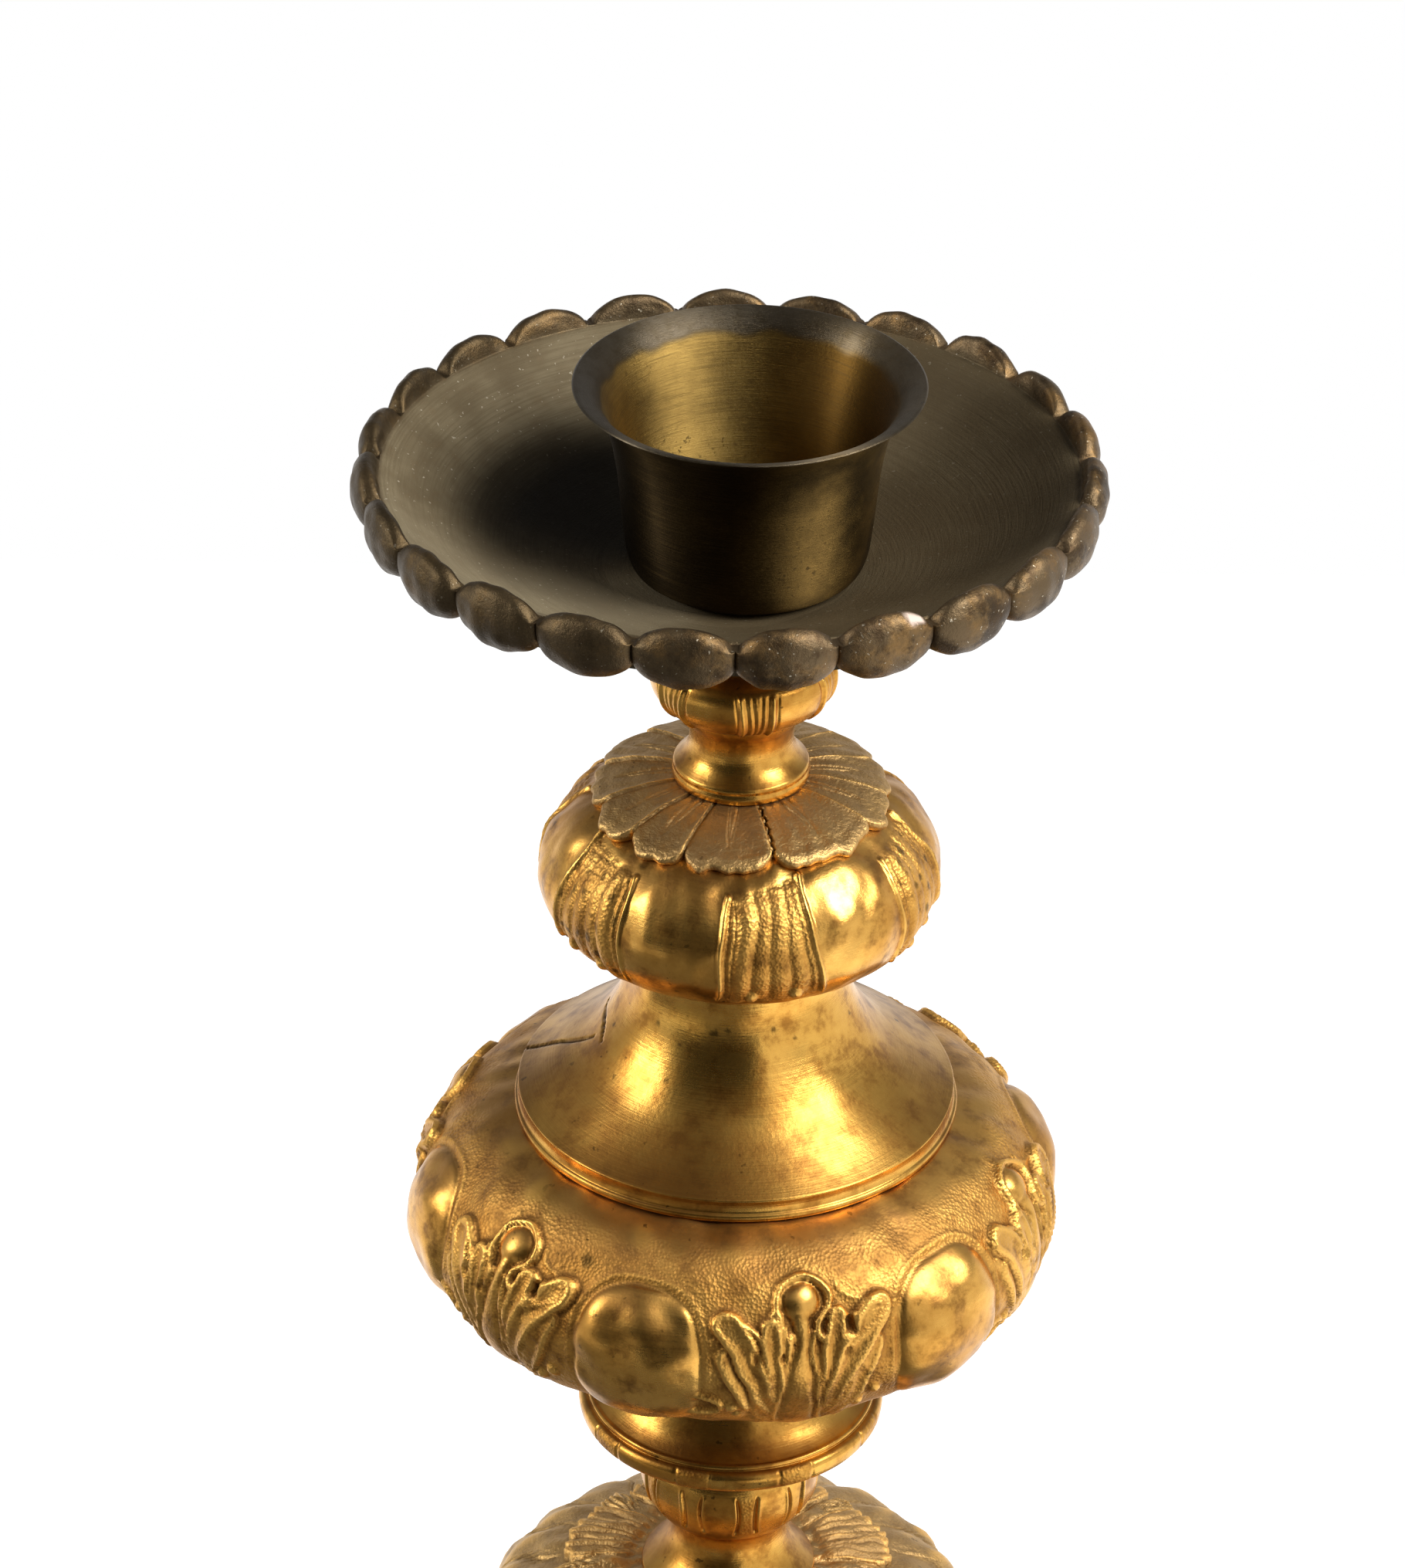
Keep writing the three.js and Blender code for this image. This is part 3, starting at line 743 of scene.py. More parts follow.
@dataclass(frozen=True)
class Patina:
    """Dark bronze under dust with turning marks in its dish, smoother and redder on its lobes, with painted
    shade, a painted shadow of the cup and a painted light patch.
    """

    skin: Colour = paint(140, 126, 98)
    shade: Colour = paint(106, 92, 68)
    red: Colour = paint(96, 75, 52)
    rubbed: Colour = paint(156, 124, 88)
    # The next colour is painted light, laid on the dish at its front left.
    painted_light: Colour = paint(186, 172, 142)
    bare: Colour = paint(255, 230, 212)
    tawny: Colour = paint(148, 113, 66)
    # brown: the colour of the painted shade on the dish's right side and on the left lobes.
    brown: Colour = paint(72, 60, 41)
    # old: the near-black of the painted shadow that the cup casts on the dish.
    old: Colour = paint(14, 11, 7)
    spotted: Colour = paint(48, 38, 28)
    sunk: Colour = paint(34, 27, 18)
    specks: Colour = paint(200, 188, 164)

    def material(self, name: str) -> bpy.types.Material:
        """Builds the finish.

        Args:
            name: the material's name.

        Returns:
            The material.
        """
        g = Graph(name)
        place = g.place()
        turn = g.turn()
        hollow = g.value("hollow")
        lobes = g.value("grain")
        dish = g.minus(1.0, lobes)
        clouds = g.noise(place, 30, 4, 0.6)
        mottle = g.noise(place, 240, 5, 0.7)
        rings = g.noise(g.scaled(turn, 2.5, 2.5, 1.1), 1.3, 5, 0.7)
        arcs = g.times(rings, dish)
        g.colour = g.mix(g.spread(clouds, 0.35, 0.65), self.skin, self.shade)
        g.lay(g.spread(arcs, 0.42, 0.62, (0, 0.5)), self.shade)
        g.lay(g.times(lobes, g.spread(clouds, 0.3, 0.7, (0.85, 0.45))), self.red)
        rubs = g.times(g.spread(mottle, 0.5, 0.72, (0, 0.6)), g.plus(g.times(lobes, 0.65), 0.15))
        g.lay(rubs, self.rubbed)
        tawny = g.times(g.spread(g.noise(place, 75, 5, 0.72), 0.47, 0.66, (0, 0.55)), lobes)
        g.lay(tawny, self.tawny)
        dark = g.times(g.spread(g.noise(place, 120, 5, 0.7), 0.46, 0.62, (0, 0.75)), lobes)
        g.lay(dark, self.spotted)
        g.lay(g.spread(hollow, 0.1, 1.0, (0, 0.9)), self.sunk)
        g.lay(g.spread(hollow, -0.15, -0.8, (0, 0.6)), self.rubbed)
        dust = g.spread(g.noise(place, 1000, 2, 0.5), 0.69, 0.73)
        g.lay(g.times(dust, 0.75), self.specks)
        reach = g.add("SeparateXYZ", {0: turn}).outputs["Z"]
        # Painted light: a paler patch on the dish at its front left, where the cup's shadow falls.
        pale = g.times(g.spread(g.toward(turn, -48), 0.76, 0.99, (0, 0.22)), dish)
        g.lay(pale, self.painted_light)
        # Painted shade: the dish darkens to brown on its right side.
        near = g.times(g.spread(g.toward(turn, 68), -0.4, 0.35, (0, 0.8)), dish)
        g.lay(near, self.brown)
        # Painted shade: the lobes on the left darken to brown.
        left = g.times(g.spread(g.toward(turn, -85), -0.1, 0.8, (0, 0.75)), lobes)
        g.lay(left, self.brown)
        # Painted shadow: the dish beside the cup, to its left and back, goes near-black, as the cup's shadow
        # would.
        old = g.times(g.spread(reach, -14, -36, (0, 0.95)), g.spread(g.toward(turn, -126), 0.55, 0.97))
        g.lay(old, self.old)
        g.lay(g.value("mark"), self.bare)
        rough = g.summed(0.44, (mottle, 0.22), (lobes, -0.12))
        metal = g.times(g.summed(0.05, (lobes, 0.85)), g.minus(1.0, g.value("mark")))
        normal = g.bump(g.noise(place, 1300, 4, 0.7), 0.00016)
        normal = g.bump(arcs, 0.0002, normal)
        return g.finish(Roughness=rough, Normal=normal, Metallic=metal, Specular_IOR_Level=0.08)


@dataclass(frozen=True)
class SpunBrass:
    """Brushed brass: brown outside, golden inside and grey on the lip, turning marks round it; painted shade
    darkens all but its right outside, and its right inside.
    """

    golden: Colour = paint(176, 144, 78)
    olive: Colour = paint(134, 108, 58)
    brown: Colour = paint(160, 128, 71)
    dark: Colour = paint(74, 59, 34)
    lip: Colour = paint(104, 94, 78)
    # The next two colours are painted shade: near black on the outside, amber on the inside.
    painted_shade_black: Colour = paint(32, 25, 16)
    painted_shade_amber: Colour = paint(88, 61, 22)

    def material(self, name: str) -> bpy.types.Material:
        """Builds the finish.

        Args:
            name: the material's name.

        Returns:
            The material.
        """
        g = Graph(name)
        place = g.place()
        turn = g.turn()
        inner = g.value("grain")
        rim = g.value("mark")
        streaks = g.noise(g.scaled(turn, 1.6, 1.6, 3.0), 1.4, 5, 0.7)
        clouds = g.noise(place, 38, 4, 0.6)
        mottle = g.noise(place, 300, 4, 0.65)
        outer = g.mix(g.spread(clouds, 0.34, 0.66), self.brown, self.dark)
        inside = g.mix(g.spread(clouds, 0.36, 0.66), self.golden, self.olive)
        # Painted shade: the outside goes near black except on its right side, darkest on the left, and the
        # inside darkens to amber on its right.
        across = g.toward(turn, 90)
        outer = g.mix(g.spread(across, 0.8, 0.0, (0, 0.78)), outer, self.painted_shade_black)
        outer = g.mix(g.spread(across, 0.1, -0.5, (0, 0.8)), outer, self.painted_shade_black)
        inside = g.mix(g.spread(across, -0.05, 0.7, (0, 0.9)), inside, self.painted_shade_amber)
        g.colour = g.mix(inner, outer, inside)
        g.lay(g.spread(streaks, 0.42, 0.7, (0, 0.45)), self.dark)
        freckles = g.times(g.spread(g.noise(place, 900, 2, 0.5), 0.6, 0.68), g.spread(clouds, 0.5, 0.36))
        g.lay(g.times(freckles, 0.8), self.dark)
        lip = g.mix(g.spread(mottle, 0.35, 0.8, (0, 0.5)), self.lip, self.dark)
        g.lay(g.times(rim, 0.85), lip)
        rough = g.summed(0.36, (streaks, 0.12), (inner, 0.06))
        normal = g.bump(streaks, 0.0001)
        normal = g.bump(g.noise(place, 1400, 2, 0.5), 0.00003, normal)
        g.brush(0.95)
        return g.finish(Roughness=rough, Normal=normal, Metallic=1.0)


@dataclass(frozen=True)
class Steel:
    """Grey forged steel with a little rust."""

    pale: Colour = paint(134, 132, 128)
    dark: Colour = paint(96, 90, 84)
    rust: Colour = paint(112, 74, 48)

    def material(self, name: str) -> bpy.types.Material:
        """Builds the finish.

        Args:
            name: the material's name.

        Returns:
            The material.
        """
        g = Graph(name)
        place = g.place()
        clouds = g.noise(place, 70, 4, 0.6)
        fine = g.noise(place, 500, 4, 0.65)
        g.colour = g.mix(g.spread(clouds, 0.35, 0.7), self.pale, self.dark)
        g.lay(g.spread(fine, 0.58, 0.72, (0, 0.6)), self.rust)
        rough = g.spread(fine, 0.3, 0.7, (0.32, 0.62))
        return g.finish(Roughness=rough, Normal=g.bump(fine, 0.0001), Metallic=1.0)


@dataclass(frozen=True)
class Felt:
    """Pressed green felt."""

    dark: Colour = paint(44, 62, 44)
    pale: Colour = paint(66, 84, 62)
    shade: Colour = paint(34, 48, 36)

    def material(self, name: str) -> bpy.types.Material:
        """Builds the finish.

        Args:
            name: the material's name.

        Returns:
            The material.
        """
        g = Graph(name)
        place = g.place()
        fibre = g.noise(place, 1500, 5, 0.75)
        clouds = g.noise(place, 160, 3, 0.6)
        g.colour = g.mix(g.spread(fibre, 0.35, 0.65), self.dark, self.pale)
        g.lay(g.spread(clouds, 0.5, 0.7, (0, 0.5)), self.shade)
        return g.finish(Roughness=0.95, Normal=g.bump(fibre, 0.0003))


# Each finish's dusty colour and dust share set its painted shade on what faces up.
RECIPES: dict[Finish, Gilding | Patina | SpunBrass | Steel | Felt] = {
    Finish.GILT: Gilding(brushing=0.3),
    Finish.CHASED: Gilding(
        bright=paint(238, 184, 94), middle=paint(198, 142, 64), deep=paint(116, 78, 36),
        dusty=paint(150, 112, 66), smooth=0.18, dull=0.35, age=0.3, rings=0.03, dust=0.5, stipple=0.00016,
    ),
    Finish.CAST: Gilding(
        bright=paint(236, 190, 114), middle=paint(180, 144, 90), deep=paint(132, 102, 62),
        dusty=paint(186, 154, 106), smooth=0.26, dull=0.42, age=0.4, rings=0.0, grain=0.0003, dust=0.6,
    ),
    Finish.BRONZE: Patina(),
    Finish.BRASS: SpunBrass(),
    Finish.STEEL: Steel(),
    Finish.FELT: Felt(),
}
Finishes = dict[Finish, bpy.types.Material]


@dataclass
class Turning:
    """A piece made on a lathe: a path down its outside, a path up its inside, and what is chased on it.

    Fields:
        node: the frame node that it stands for.
        outside: runs down the outside, in millimetres above the node's underside.
        inside: runs up the inside, from the outside's end to its start; a straight bore where there are none.
        columns: how many points there are round it.
        spacing: the distance between rows on the outside in millimetres.
        inner_spacing: the distance between rows on the inside.
        edge: how far from a corner its rounding starts.
        first: the run that arcs are measured from.
        band: the arcs between which every row is kept; elsewhere only some are.
        thin: how many rows become one outside the band.
        uneven: the unevenness of its skin.
        centre: where its axis is, in millimetres from the stem's.
        body: the frame body that it moves with.
        slot: the record's name for its finish; not used.
    """

    node: str
    outside: Runs = ()
    inside: Runs = ()
    columns: int = 240
    spacing: float = 0.8
    inner_spacing: float = 4.0
    edge: float = 0.3
    first: int = 0
    band: Point = EVERYWHERE
    thin: int = 3
    uneven: Uneven = (0.0, 1, 18.0)
    centre: Point = (0.0, 0.0)
    body: Body = Body.STAND
    slot: Slot = Slot.GILT
    finish: Finish = Finish.GILT

    def runs(self) -> tuple[Runs, Runs]:
        """The runs down the outside and up the inside."""
        return self.outside, self.inside

    def azimuths(self) -> Array:
        """Azimuths of the columns."""
        return np.arange(self.columns) * 360 / self.columns

    def zero(self) -> float:
        """Height of the outlines' zero, in millimetres."""
        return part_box(self.node)[0].z / MM

    def chase(self, skin: Skin) -> Relief:
        """The relief of the outside: a little unevenness, and what the piece adds to it."""
        return Relief.plain(skin, *self.uneven)

    def shape(self, azimuth: Array, radius: Array, height: Array) -> tuple[Array, Array]:
        """The finished radii and heights, which a piece that isn't round moves."""
        return radius, height

    def rows(self, outside: Runs) -> tuple[Array, Array]:
        """Samples the outside.

        Args:
            outside: the runs down it.

        Returns:
            The path down the outside, and its arcs.
        """
        path = outline(outside, self.spacing, self.edge)
        arc = arc_of(path)
        arc = arc - arc[np.argmin(np.hypot(*(path - outside[self.first][0]).T))]
        step = np.diff(arc, prepend=EVERYWHERE[0], append=EVERYWHERE[1])
        number = np.arange(len(path))
        keep = (arc >= self.band[0]) & (arc <= self.band[1]) | (number % self.thin == 0)
        keep |= np.minimum(step[:-1], step[1:]) < 0.5 * self.spacing
        keep[[0, -1]] = True
        return path[keep], arc[keep]

    def turned(self) -> bpy.types.Object:
        """Makes the mesh.

        Returns:
            The closed, smooth-shaded object, with its turn, hollow, grain and mark stored on it.
        """
        outside, inside = self.runs()
        outer, reach = self.rows(outside)
        bore = ((outside[-1][-1], outside[0][0]),)
        inner = outline(inside or bore, self.inner_spacing, self.edge)[1:-1]
        azimuth = self.azimuths()[None, :]
        skin = Skin(azimuth, reach[:, None], outer[:, :1], outer[:, 1:])
        relief = self.chase(skin)
        normal = outward(outer)
        radius = outer[:, :1] + relief.lift * normal[:, :1]
        height = outer[:, 1:] + relief.lift * normal[:, 1:]
        radius = np.vstack([radius, np.repeat(inner[:, :1], azimuth.size, 1)])
        height = np.vstack([height, np.repeat(inner[:, 1:], azimuth.size, 1)])
        radius, height = self.shape(azimuth, radius, height)
        angle = np.radians(azimuth)
        grid = np.stack([
            self.centre[0] + radius * np.sin(angle),
            self.centre[1] - radius * np.cos(angle),
            self.zero() + height,
        ], 2)
        rows, columns = radius.shape
        row, column = np.meshgrid(np.arange(rows), np.arange(columns), indexing="ij")
        below, beside = (row + 1) % rows, (column + 1) % columns
        corners = [row * columns + column, below * columns + column,
                   below * columns + beside, row * columns + beside]
        faces = np.stack(corners, 2).reshape(-1, 4)
        made = make_mesh(f"finished_{self.node}", grid.reshape(-1, 3), faces)
        self.store(made, skin, relief, rows)
        if radius.min() < POLE_RADIUS:
            close_poles(made)
        return made

    def store(self, made: bpy.types.Object, skin: Skin, relief: Relief, rows: int) -> None:
        """Stores what the finishes read on each point: its turn, hollow, grain and mark.

        Args:
            made: the new piece.
            skin: its outside.
            relief: what is chased on it.
            rows: how many rows it has in all.
        """
        hollow = blurred(relief.lift, HOLLOW_PASSES) - relief.lift
        spare = rows - len(relief.lift)
        for name, field in (("hollow", hollow), ("grain", relief.grain), ("mark", relief.mark)):
            full = np.vstack([field, np.zeros((spare, field.shape[1]))])
            add_values(made, name, full.ravel())
        reach = np.concatenate([skin.arc[:, 0], np.full(spare, skin.arc[-1, 0])])
        angle = np.radians(skin.azimuth)
        turn = np.stack(np.broadcast_arrays(np.cos(angle), np.sin(angle), reach[:, None]), 2)
        add_values(made, "turn", turn.reshape(-1, 3))

    def build(self, finishes: Finishes) -> None:
        """Makes the piece, gives it its finish and puts it in the place of its frame node.

        Args:
            finishes: the material of each finish.
        """
        made = self.turned()
        made.data.materials.append(finishes[self.finish])
        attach(made, self.body.value)
        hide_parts(self.node)
        log.info("%s: %d faces", made.name, len(made.data.polygons))


@dataclass
class CandleCup(Turning):
    """The loose cup that a candle stands in: spun thin, with a flared lip."""

    node: str = "candle_cup"
    columns: int = 360
    spacing: float = 0.6
    first: int = 1
    uneven: Uneven = (0.05, 3, 30)
    centre: Point = (0.6, 0)
    body: Body = Body.CUP
    slot: Slot = Slot.BRASS
    finish: Finish = Finish.BRASS
    wall: float = 1.2
    hole: float = 6.2
    lip: Run = ((38.6, 45.5), (39.2, 45.5), (39.5, 45.3), (39.2, 45.1))
    side: Run = (
        (39.2, 45.1), (37.4, 44.1), (35, 42), (33.2, 39.4), (32.2, 37), (31, 33), (30, 28),
        (29.3, 23), (28.6, 16), (27.9, 9), (27.2, 4.6), (25.9, 1.6), (23.6, 0.2), (22.6, 0),
    )

    def chase(self, skin: Skin) -> Relief:
        """Marks the grey lip and the golden inside.

        Args:
            skin: its outside.

        Returns:
            What is chased on it.
        """
        relief = super().chase(skin)
        relief.lift = relief.lift * smoothstep(1.0, 6.0, np.abs(skin.arc))
        ragged = skin.arc + 0.5 * skin.waver(4, 9)
        relief.mark = smoothstep(-8.0, -5.6, ragged) * smoothstep(1.9, 1.2, skin.arc)
        relief.grain = smoothstep(-5.6, -8.0, ragged)
        return relief

    def runs(self) -> tuple[Runs, Runs]:
        """The runs up the inner wall and down the outer one, and through the hole in the floor.

        Returns:
            The runs down the outside, and up the inside.
        """
        points = offset(smooth_run(self.side, 2.0), self.wall)[::-1][:-2]
        inner = tuple((radius, max(height, self.wall)) for radius, height in points)
        outside = ((*inner, self.lip[0]), self.lip, self.side, (self.side[-1], (self.hole, 0.0)))
        return outside, chain((self.hole, 0.0), (self.hole, self.wall), inner[0])


@dataclass
class DripPan(Turning):
    """The loose dish under the cup, with a ring of shell-like lobes round its rim.

    Fields:
        hole: radius of the hole in its floor.
        lobes: how many lobes there are.
        first_notch: azimuth of one notch between them.
        columns_a_lobe: how many points there are round each.
        root: radius and height of the lobes' root.
        valley_reach: share of the lobes' reach that a notch has.
        valley_drop: share of the lobes' depth that a notch has.
        egg: powers that round a lobe's outline seen from above.
        face: powers that round its upper face.
        face_width: share of a lobe's width that its upper face has.
        variety: how much the lobes differ in reach and in height.
        chip: azimuth and width in degrees of the chipped crest.
        chip_depth: how deep the chip is.
    """

    node: str = "drip_pan"
    spacing: float = 0.7
    first: int = 2
    band: Point = (-3.0, 33.0)
    thin: int = 4
    uneven: Uneven = (0.12, 11, 40)
    centre: Point = (-3.5, 0)
    body: Body = Body.PAN
    slot: Slot = Slot.BRONZE
    finish: Finish = Finish.BRONZE
    hole: float = 9.1
    lobes: int = 23
    first_notch: float = 0.9
    columns_a_lobe: int = 34
    root: Point = (78.4, 25.2)
    valley_reach: float = 0.44
    valley_drop: float = 0.5
    egg: Point = (1.9, 0.56)
    face: Point = (2.1, 0.62)
    face_width: float = 0.92
    variety: Point = (0.1, 0.14)
    chip: Point = (28.9, 1.9)
    chip_depth: float = 0.55

    def across(self, azimuth: Array) -> Array:
        """Where a place lies across its lobe, from 0 in the middle to 1 in a notch."""
        return np.abs(((azimuth - self.first_notch) * self.lobes / 360) % 1 * 2 - 1)

    def azimuths(self) -> Array:
        """Azimuths that crowd together in the notches.

        Returns:
            One azimuth a column.
        """
        share = (1 - np.cos(np.pi * np.arange(self.columns_a_lobe) / self.columns_a_lobe)) / 2
        step = 360 / self.lobes
        starts = self.first_notch + step * np.arange(self.lobes)[:, None]
        return (starts + step * share[None, :]).ravel()

    def shape(self, azimuth: Array, radius: Array, height: Array) -> tuple[Array, Array]:
        """Draws the rim in between its lobes.

        Args:
            azimuth: the columns' azimuths.
            radius: the turned radii.
            height: the turned heights.

        Returns:
            The scalloped radii and heights.
        """
        across = self.across(azimuth)
        egg = np.clip(1 - across**self.egg[0], 0, 1) ** self.egg[1]
        face = np.clip(1 - (across / self.face_width) ** self.face[0], 0, 1) ** self.face[1]
        beyond = radius > self.root[0]
        rise = height - self.root[1]
        reach = self.valley_reach + (1 - self.valley_reach) * egg
        tall = np.where(rise > 0, face, self.valley_drop + (1 - self.valley_drop) * egg)
        number = np.floor((azimuth - self.first_notch) * self.lobes / 360) % self.lobes
        own = np.random.default_rng(17).uniform(-1, 0, (2, self.lobes))[:, number.astype(int)]
        reach = reach * (1 + self.variety[0] * own[0] * egg)
        tall = tall * np.where(rise > 0, 1 + self.variety[1] * own[1], 1)
        radius = np.where(beyond, self.root[0] + (radius - self.root[0]) * reach, radius)
        height = np.where(beyond, self.root[1] + rise * tall, height)
        return radius, height

    def chase(self, skin: Skin) -> Relief:
        """Marks the lobes, their hand-made dents and one chipped crest.

        Args:
            skin: its outside.

        Returns:
            What is chased on it.
        """
        relief = super().chase(skin)
        on_lobe = smoothstep(self.root[0] - 0.8, self.root[0] + 0.8, skin.radius)
        across = self.across(skin.azimuth)
        relief.lift = relief.lift * (1 - on_lobe) + on_lobe * 0.14 * skin.waver(13, 5)
        relief.grain = on_lobe * np.ones_like(across)
        where, width = self.chip
        near = np.abs(skin.azimuth_from(where) + 0.25 * skin.waver(15, 4)) / width
        crest = smoothstep(27.6, 29.2, skin.height + 0.4 * skin.waver(16, 3))
        relief.mark = smoothstep(1.0, 0.7, near) * crest * smoothstep(81.2, 81.9, skin.radius)
        relief.lift = relief.lift - self.chip_depth * relief.mark
        return relief

    def runs(self) -> tuple[Runs, Runs]:
        """The dish, its slope, the lobes' face and bead, the underside and the foot.

        Returns:
            The runs down the outside, and none up the inside, which is a straight bore.
        """
        return chain(
            (self.hole, 1.4), (28.5, 1.4),
            ((34.0, 2.6), (40.0, 4.3), (47.5, 6.9), (55.0, 10.0), (62.0, 14.0), (68.0, 18.2), (73.0, 22.1),
             (76.0, 24.3), (77.4, 24.9), self.root),
            ((78.8, 27.2), (79.5, 29.2)),
            ((81.0, 30.5), (82.7, 29.8), (84.1, 27.6), (84.9, 24.3), (84.7, 20.6), (83.4, 17.3), (81.2, 15.2),
             (78.6, 14.6)),
            ((77.3, 19.4), (75.4, 21.2), (72.6, 19.6), (67.6, 15.6), (61.4, 11.5), (54.4, 7.8), (46.8, 4.9),
             (40.0, 2.8), (33.0, 1.1), (27.0, 0.0)),
            (self.hole, 0.0),
        ), ()


@dataclass
class Capital(Turning):
    """The cap that carries the pan: a round band with ribbed clasps, and a waist above it."""

    node: str = "capital"
    outside: Runs = chain(
        (14, 33.9), (19, 33.9), (19, 30.2),
        ((16.2, 27.6), (13.4, 24.4), (12.4, 20.4), (13.2, 17), (15.2, 14.8)),
        ((17.2, 14.4), (18.8, 14)),
        ((20.4, 12.9), (21.3, 10.8), (21.4, 8), (20.7, 5.2), (19.1, 2.8), (17.2, 1.2), (15.2, 0)),
        (BORE, 0),
    )
    inside: Runs = chain((BORE, 0), (BORE, 27.4), (10.4, 27.4), (10.4, 33.9), (14, 33.9))
    columns: int = 500
    spacing: float = 0.42
    first: int = 4
    uneven: Uneven = (0.04, 5, 12)
    clasps: int = 6
    first_clasp: float = 9.5
    clasp_width: float = 7.0
    rib_pitch: float = 1.55

    def chase(self, skin: Skin) -> Relief:
        """Ribs the clasps round the band.

        Args:
            skin: its outside.

        Returns:
            What is chased on it.
        """
        relief = super().chase(skin)
        x, index = skin.fold(self.first_clasp, self.clasps)
        y = skin.arc * np.ones_like(x)
        x = x + 0.06 * (y - 8) * np.sign(x) + 0.12 * np.sin(y / 2.2 + 2 * index)
        on_band = within(y, 1.5, 3.5, 15.0, 16.4)
        half = self.clasp_width / 2
        inside = smoothstep(half, half - 0.4, np.abs(x))
        ribs = 0.4 * np.abs(np.cos(np.pi * x / self.rib_pitch)) ** 0.9 - 0.3
        edges = 0.6 * bell(np.abs(x) - half, 0.5)
        beside = -0.3 * bell(np.abs(x) - half - 1.1, 0.4)
        relief.lift = relief.lift + on_band * (inside * ribs + edges + beside)
        relief.grain = 0.3 * inside * on_band
        return relief


@dataclass
class Spool(Turning):
    """The waisted spool between the petals and the cap."""

    node: str = "neck_spool"
    outside: Runs = chain(
        (BORE, 18), (14.6, 18),
        ((14.2, 17), (12.6, 14.2), (11.9, 10.4), (12.5, 7.4), (14.2, 5), (15, 4.2)),
        ((15.7, 3), (15.5, 2.4)),
        ((15.9, 1.3), (15.7, 0)),
        (BORE, 0),
    )
    spacing: float = 0.6
    uneven: Uneven = (0.04, 7, 16)


@dataclass
class LowerNeck(Spool):
    """The waist between the lower knop and the small one."""

    node: str = "lower_neck"
    outside: Runs = chain(
        (BORE, 19.4), (15.9, 19.4),
        ((14.2, 17.9), (13.6, 14.8), (14, 12), (15.2, 9.2), (17.2, 6.4), (19.2, 4.2), (21.4, 2)),
        (21.5, 0), (BORE, 0),
    )


@dataclass
class SpunTrumpet(Turning):
    """A spun trumpet with a beaded hem at its foot.

    Fields:
        height: its height in millimetres.
        neck: radius of its straight neck.
        reach: radius of its foot.
        hem: height of the hem.
        drop: how far down the neck is straight.
        wall: how thick it is.
        flare: shares of the way out and up that its curve runs through.
        cracks: places that each crack runs through, as azimuth and arc.
        stains: its stains.
    """

    columns: int = 480
    spacing: float = 0.6
    first: int = 1
    uneven: Uneven = (0.14, 21, 22)
    height: float = 44.7
    neck: float = 25.5
    reach: float = 52.5
    hem: float = 4.8
    drop: float = 6.9
    wall: float = 1.6
    flare: Run = (
        (0, 1), (0.055, 0.8), (0.165, 0.61), (0.37, 0.38), (0.65, 0.185), (0.87, 0.06), (0.968, 0.012),
    )
    cracks: Runs = ()
    stains: Spots = ()

    def chase(self, skin: Skin) -> Relief:
        """Opens the old cracks and sets the stains.

        Args:
            skin: its outside.

        Returns:
            What is chased on it.
        """
        relief = super().chase(skin)
        for line in self.cracks:
            relief.crack(skin, line, 0.8, 0.5)
        relief.stain(skin, self.stains, self.uneven[1] * 10)
        return relief

    def runs(self) -> tuple[Runs, Runs]:
        """The neck and flare, the hem and its bead, and the same a wall's thickness further in.

        Returns:
            The runs down the outside, and up the inside.
        """
        rise, wide = self.height - self.drop - self.hem, self.reach - self.neck
        flare = tuple((self.neck + wide * out, self.hem + rise * up) for out, up in self.flare)
        edge, under, slant = self.reach - self.wall, self.height - self.wall, self.wall * 0.7
        outside = chain(
            (BORE, self.height), (self.neck, self.height),
            ((self.neck, self.height - 2.5), *flare),
            ((self.reach - 1.1, self.hem - 1.3), (self.reach - 0.8, 1.9)),
            ((self.reach - 0.1, 1.5), (self.reach, 0.7), (self.reach - 0.2, 0.0)),
            (edge, 0.0),
        )
        inside = chain(
            (edge, 0.0), (edge, self.hem - self.wall),
            tuple((radius - slant, height - slant) for radius, height in flare[::-1]),
            (self.neck - slant, under), (BORE, under), (BORE, self.height),
        )
        return outside, inside


@dataclass
class NeckTrumpet(SpunTrumpet):
    """The trumpet between the knops, with its old cracks and stains."""

    node: str = "trumpet_neck"
    cracks: Runs = (
        ((-104, 52), (-101.7, 47.9), (-97.6, 40.5), (-88.9, 32.5), (-82.4, 27.3)),
        ((-100, 22), (-93, 22.8), (-87.3, 23), (-78.6, 24.5), (-74.5, 25.9)),
    )
    stains: Spots = (
        (-31, 23.9, 0.9), (-75, 20.7, 0.8), (-29, 15, 0.6), (-12, 10.5, 1.3), (-5, 9.5, 0.9),
        (19, 10, 1), (30, 13, 0.6), (-44, 12, 0.9), (71, 15.3, 0.7), (110, 36.7, 0.8),
        (150, 30, 1.2), (-150, 34, 1.4),
    )


@dataclass
class BaseTrumpet(SpunTrumpet):
    """The trumpet that rises from the base."""

    node: str = "base_trumpet"
    uneven: Uneven = (0.14, 23, 22)
    height: float = 44.4
    neck: float = 26.0
    reach: float = 60.0
    hem: float = 4.6
    drop: float = 6.4


